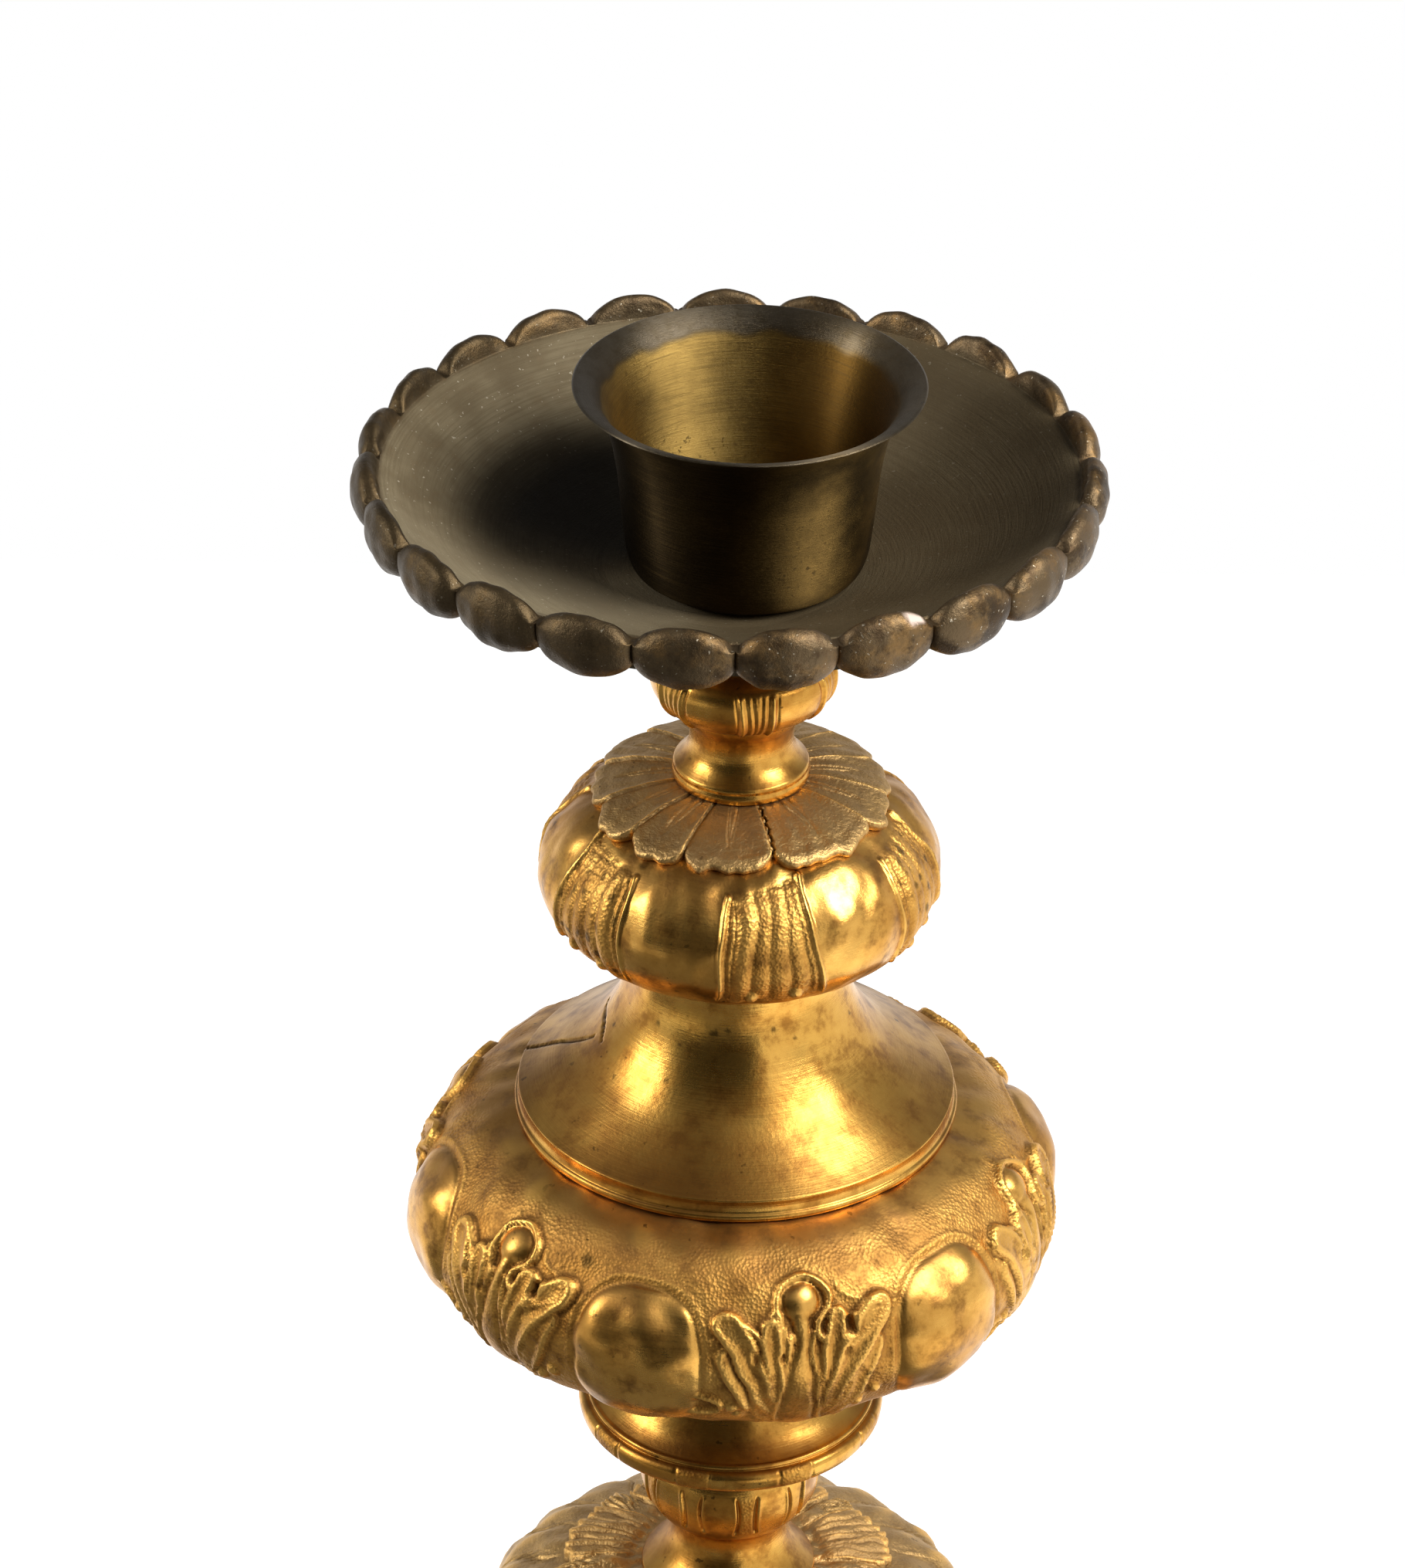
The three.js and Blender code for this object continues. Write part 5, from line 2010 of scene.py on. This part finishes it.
@dataclass
class StemRing(Turning):
    """The turned ring that joins the stem to the base, its bead cut with ticks."""

    node: str = "stem_ring"
    outside: Runs = chain(
        (BORE, 13.7), (29, 13.7),
        ((28.6, 12.8), (26, 11.6), (24.2, 9.2), (25.4, 7.6), (27.8, 7)),
        ((29.8, 6.2), (31, 3.6), (29.8, 1), (27.8, 0)),
        (BORE, 0),
    )
    columns: int = 480
    spacing: float = 0.5
    uneven: Uneven = (0.05, 91, 12)
    ticks: int = 24
    tick_width: float = 0.5
    tick_depth: float = 0.55

    def chase(self, skin: Skin) -> Relief:
        """Cuts the ticks round the bead.

        Args:
            skin: its outside.

        Returns:
            What is chased on it.
        """
        relief = super().chase(skin)
        x, _ = skin.fold(0.0, self.ticks)
        on_bead = within(skin.height, 7.4, 6.4, 1.0, 0.2)
        relief.lift = relief.lift - self.tick_depth * bell(x, self.tick_width) * on_bead
        return relief


@dataclass
class BaseDome(Turning):
    """The raised dome of the base, chased like the vase knop."""

    node: str = "base_dome"
    outside: Runs = chain(
        (50, 46.6), (61, 46.6),
        ((70, 43.6), (80, 38.2), (88.4, 31), (93.6, 23.6), (95.6, 17), (95, 11.4), (93.6, 7.6)),
        ((96, 6.2), (99.6, 4.6), (101.7, 3.2), (102, 1.8), (101.6, 0)),
        (99.6, 0),
    )
    inside: Runs = chain(
        (99.6, 0), ((99.6, 1.8), (95, 4.6), (91.8, 7)),
        ((93.4, 16), (91.4, 23), (86.8, 29.6), (78.8, 36.4), (69.2, 41.6), (61, 44.2)),
        (50, 44.8), (50, 46.6),
    )
    columns: int = 780
    spacing: float = 0.75
    inner_spacing: float = 9.0
    first: int = 1
    band: Point = (2.0, 56.0)
    finish: Finish = Finish.CHASED

    def chase(self, skin: Skin) -> Relief:
        """Chases the band on the dome's side and leaves its hem plain.

        Args:
            skin: its outside.

        Returns:
            What is chased on it.
        """
        relief = EggAndLeaf(start=-16.0, size=1.12, seed=101, first_leaf=0.0, egg_lift=3.0).chase(skin)
        band = smoothstep(2.0, 6.0, skin.arc) * smoothstep(6.5, 9.5, skin.height)
        relief.lift = relief.lift * band
        relief.grain = relief.grain * band
        return relief


@dataclass
class BaseRim(Turning):
    """The hollow rim that carries the dome, gadrooned round its belly."""

    node: str = "base_rim"
    outside: Runs = chain(
        (88, 28), (105, 28),
        ((108.6, 25.8), (111, 20.6), (111.9, 13.4), (111.2, 7), (108.6, 2.2), (104, 0)),
        (80, 0),
    )
    inside: Runs = chain(
        (80, 0), (80, 4),
        ((100, 4), (106, 8), (107.6, 13), (106, 20), (101, 24)),
        (88, 24), (88, 28),
    )
    columns: int = 960
    spacing: float = 1.1
    inner_spacing: float = 6.0
    uneven: Uneven = (0.08, 111, 26)
    gadroons: int = 48
    depth: float = 2.4

    def chase(self, skin: Skin) -> Relief:
        """Sinks the metal between the gadroons.

        Args:
            skin: its outside.

        Returns:
            What is chased on it.
        """
        relief = super().chase(skin)
        across = (skin.azimuth * self.gadroons / 360) % 1 * 2 - 1
        body = np.sqrt(np.clip(1 - across**2, 0, 1))
        band = within(skin.height, 27.0, 22.5, 4.5, 0.8) * (skin.arc < 44)
        relief.lift = relief.lift - self.depth * (1 - body) * band
        return relief


@dataclass
class Feet:
    """The three bun feet, each on a felt pad and held by a screw from above."""

    count: int = 3
    columns: int = 96
    spacing: float = 0.6
    bun: Runs = chain(
        (3, 25), (12, 25), (12, 22.4), ((10.6, 21.6), (9.5, 20.9)),
        ((12.4, 19.6), (16.2, 16.4), (18.2, 12.4), (18.2, 8), (16.2, 3.6), (12.4, 0.2), (12, 0)),
        (0, 0),
    )
    hole: Runs = chain((0, 0), (0, 11), (3, 11), (3, 25))
    pad: Runs = chain((0, 2.5), (10.7, 2.5), ((11, 1.3), (10.8, 0)), (0, 0))
    screw: Runs = chain(
        (0, 19.8), (2.2, 20), ((4.2, 19), (5, 17)), (5, 16.6), (2.5, 16.6), (2.5, 0.6),
        ((2, 0), (0, 0)),
    )

    def place(self, number: int) -> tuple[float, float]:
        """Middle of a foot's pad on the floor, in millimetres.

        Args:
            number: which foot, from 1.

        Returns:
            Its place on the floor.
        """
        low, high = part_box(f"foot_pad_{number}")
        middle = (low + high) / 2 / MM
        return (middle.x, middle.y)

    def build(self, finishes: Finishes) -> None:
        """Turns the feet, pads and screws and puts them in their places.

        Args:
            finishes: the material of each finish.
        """
        for number in range(1, self.count + 1):
            for name, outside, inside, slot, finish in (
                ("foot", self.bun, self.hole, Slot.GILT, Finish.GILT),
                ("foot_pad", self.pad, (), Slot.FELT, Finish.FELT),
                ("foot_screw", self.screw, (), Slot.STEEL, Finish.STEEL),
            ):
                Turning(
                    f"{name}_{number}", outside, inside, columns=self.columns, spacing=self.spacing,
                    centre=self.place(number), slot=slot, finish=finish,
                ).build(finishes)


@dataclass
class TieWork:
    """The steel that holds the stand together; the frame's own pieces, with their edges eased."""

    nodes: tuple[str, ...] = (
        "tie_rod", "tie_nut", "tie_washer", "top_nut", "bridge_plate",
        "upper_sleeve", "vase_sleeve", "lower_sleeve", "base_sleeve",
    )
    ease: float = 0.4
    segments: int = 3

    def build(self, finishes: Finishes) -> None:
        """Gives the frame's steel pieces their finish and eases their edges.

        Args:
            finishes: the material of each finish.
        """
        for node in self.nodes:
            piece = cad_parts[node]
            piece.data.materials.clear()
            piece.data.materials.append(finishes[Finish.STEEL])
            bevel = piece.modifiers.new("eased_edges", "BEVEL")
            bevel.width = self.ease * MM
            bevel.segments = self.segments
            bevel.limit_method = "ANGLE"
            log.info("%s: kept, with eased edges", node)


@dataclass
class Flag:
    """A dark or grey screen of the studio that only mirror-like surfaces see.

    Fields:
        shade: how light it is, from 0 to 1.
        low: its lowest corner in metres, level with the other along one direction.
        high: the corner across from it.
    """

    name: str
    shade: float
    low: Place
    high: Place

    def corners(self) -> list[Place]:
        """Its four corners, in order round it.

        Returns:
            Their places in metres.
        """
        one, other = (axis for axis in range(3) if self.low[axis] != self.high[axis])
        corners = [list(self.low) for _ in range(4)]
        for index in (1, 2):
            corners[index][one] = self.high[one]
        for index in (2, 3):
            corners[index][other] = self.high[other]
        return [tuple(corner) for corner in corners]


@dataclass
class Softbox:
    """A lamp of the studio.

    Fields:
        azimuth: its direction from the front, in degrees.
        rise: its height above the aim, in degrees.
        size: its width and height in metres.
        power: its power in watts.
        distance: how far it is from the aim in metres.
    """

    name: str
    azimuth: float
    rise: float
    size: tuple[float, float]
    power: float
    distance: float = 1.6


@dataclass
class Studio:
    """Camera, floor, lamps and the dark screens that the metal mirrors.

    Fields:
        eye: the camera's place in metres.
        pitch: how far it looks down, in degrees.
        roll: how far it is turned about its own view, in degrees.
        lens: its focal length for a film as wide as film, both in millimetres.
        aim: what the lamps face, in metres.
        ambient: the strength of the background's grey light.
        floor_half: half the floor's width in metres.
        floor_drop: how far it lies under the feet, in metres.
        floor_pale: how light it is.
        floor_glow: the light that it adds where it is seen.
    """

    eye: Place = (-0.0088, -1.182, 1.145)
    pitch: float = 30.88
    roll: float = 0.72
    lens: float = 137.57
    film: float = 36.0
    aim: Place = (0.0, 0.0, 0.38)
    ambient: float = 0.1
    floor_half: float = 0.9
    floor_drop: float = 0.0005
    floor_pale: float = 0.82
    floor_glow: float = 0.7
    lamps: tuple[Softbox, ...] = (
        Softbox("right_softbox", 66, 46, (0.7, 0.9), 28.5),
        Softbox("left_softbox", -82, 26, (0.45, 0.7), 12),
    )
    flags: tuple[Flag, ...] = (
        Flag("dark_front", 0.03, (-2.25, -2.2, 0.0), (1.0, -2.2, 2.8)),
        Flag("dark_front_floor", 0.2, (-1.2, -2.2, 0.003), (0.22, 0.1, 0.003)),
        Flag("dim_ceiling", 0.2, (-2.2, -2.2, 2.8), (-0.1, 2.2, 2.8)),
        Flag("grey_ceiling", 0.46, (-0.1, -2.2, 2.8), (2.2, 2.2, 2.8)),
        Flag("dark_left", 0.06, (-2.25, -2.2, 0.0), (-2.25, -1.1, 2.8)),
        Flag("grey_left", 0.42, (-2.25, -1.1, 0.0), (-2.25, 2.2, 2.8)),
        Flag("grey_right", 0.38, (2.25, -2.2, 0.9), (2.25, 2.2, 2.8)),
        Flag("dim_back", 0.2, (-2.2, 2.2, 0.75), (-0.1, 2.2, 2.8)),
        Flag("grey_back", 0.34, (-0.1, 2.2, 0.75), (2.2, 2.2, 2.8)),
    )

    def camera(self) -> None:
        """Puts the camera where the photograph was taken from."""
        data = bpy.data.cameras.new("camera")
        data.sensor_width = self.film
        data.lens = self.lens
        data.clip_end = 50
        camera = link(bpy.data.objects.new("camera", data))
        tilt = Matrix.Rotation(math.radians(90 - self.pitch), 4, "X")
        turn = Matrix.Rotation(math.radians(self.roll), 4, "Z")
        camera.matrix_world = Matrix.Translation(self.eye) @ tilt @ turn
        bpy.context.scene.camera = camera

    def hang(self, box: Softbox) -> None:
        """Hangs one lamp, facing the stand.

        Args:
            box: the lamp.
        """
        data = bpy.data.lights.new(box.name, "AREA")
        data.shape = "RECTANGLE"
        data.size, data.size_y = box.size
        data.energy = box.power
        lamp = link(bpy.data.objects.new(box.name, data))
        angle, rise = math.radians(box.azimuth), math.radians(box.rise)
        reach = box.distance * math.cos(rise)
        away = Vector((reach * math.sin(angle), -reach * math.cos(angle), box.distance * math.sin(rise)))
        lamp.location = Vector(self.aim) + away
        lamp.rotation_euler = (-away).to_track_quat("-Z", "Y").to_euler()

    def panel(self, name: str, corners: Iterable[Place], finish: str) -> tuple[bpy.types.Object, Nodes]:
        """Makes a flat panel of the set.

        Args:
            name: the panel's name.
            corners: its four corners in metres.
            finish: its material's name.

        Returns:
            The panel, and its material's nodes, with none made yet.
        """
        mesh = bpy.data.meshes.new(name)
        mesh.from_pydata([Vector(corner) for corner in corners], [], [(0, 1, 2, 3)])
        material = bpy.data.materials.new(finish)
        material.use_nodes = True
        material.node_tree.nodes.clear()
        mesh.materials.append(material)
        panel = link(bpy.data.objects.new(name, mesh))
        return panel, Nodes(material.node_tree)

    def screen(self, flag: Flag) -> None:
        """Stands up one screen.

        Args:
            flag: the screen.
        """
        card, nodes = self.panel(flag.name, flag.corners(), flag.name)
        for rays in ("visible_camera", "visible_diffuse", "visible_shadow", "visible_transmission"):
            setattr(card, rays, False)
        glow = nodes.add("Emission", {0: (flag.shade,) * 3})
        nodes.add("OutputMaterial", {0: glow.outputs[0]})

    def seen(self, nodes: Nodes) -> Socket:
        """1 for rays that show the background: from the camera, and from gloss and glass.

        Args:
            nodes: the material's or the world's.

        Returns:
            The output.
        """
        path = nodes.add("LightPath", {})
        total = path.outputs["Is Camera Ray"]
        for name in ("Is Glossy Ray", "Is Transmission Ray"):
            total = nodes.add("Math", {0: total, 1: path.outputs[name]}, operation="MAXIMUM").outputs[0]
        return total

    def world(self) -> None:
        """A white background, and a plain grey light from it."""
        world = bpy.data.worlds.new("studio")
        bpy.context.scene.world = world
        world.use_nodes = True
        nodes = Nodes(world.node_tree)
        strength = nodes.add("MapRange", {"Value": self.seen(nodes), "To Min": self.ambient, "To Max": 1.0})
        background = world.node_tree.nodes["Background"]
        nodes.feed(background.inputs[0], (1, 1, 1))
        nodes.feed(background.inputs[1], strength.outputs[0])

    def floor(self) -> None:
        """A pale floor that shows white and keeps the stand's shadow."""
        half, pale = self.floor_half, self.floor_pale
        corners = ((-half, -half, 0), (half, -half, 0), (half, half, 0), (-half, half, 0))
        floor, nodes = self.panel("floor", corners, "pale_floor")
        floor.location.z = -self.floor_drop
        matt = nodes.add("BsdfDiffuse", {0: (pale, pale, pale)})
        lift = nodes.add("Math", {0: self.seen(nodes), 1: self.floor_glow}, operation="MULTIPLY")
        glow = nodes.add("Emission", {1: lift.outputs[0]})
        both = nodes.add("AddShader", {0: matt.outputs[0], 1: glow.outputs[0]})
        nodes.add("OutputMaterial", {0: both.outputs[0]})

    def build(self) -> None:
        """Sets up the whole studio."""
        self.camera()
        self.world()
        self.floor()
        for box in self.lamps:
            self.hang(box)
        for flag in self.flags:
            self.screen(flag)
        bpy.context.scene.view_settings.view_transform = "Standard"


def main() -> None:
    """Builds the studio and every piece of the stand in order."""
    logging.basicConfig(level=logging.INFO, format="%(name)s %(message)s")
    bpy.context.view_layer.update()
    Studio().build()
    finishes = {finish: recipe.material(finish.value) for finish, recipe in RECIPES.items()}
    for assembly in (
        CandleCup(), DripPan(), Capital(), Spool(), PetalCollar(), RibbedKnop(), NeckTrumpet(), VaseKnop(),
        DishCollar(), SmallKnop(), LowerNeck(), ShellKnop(), StemRing(), BaseTrumpet(), BaseDome(), BaseRim(),
        Feet(), TieWork(),
    ):
        assembly.build(finishes)


if __name__ == "__main__":
    main()
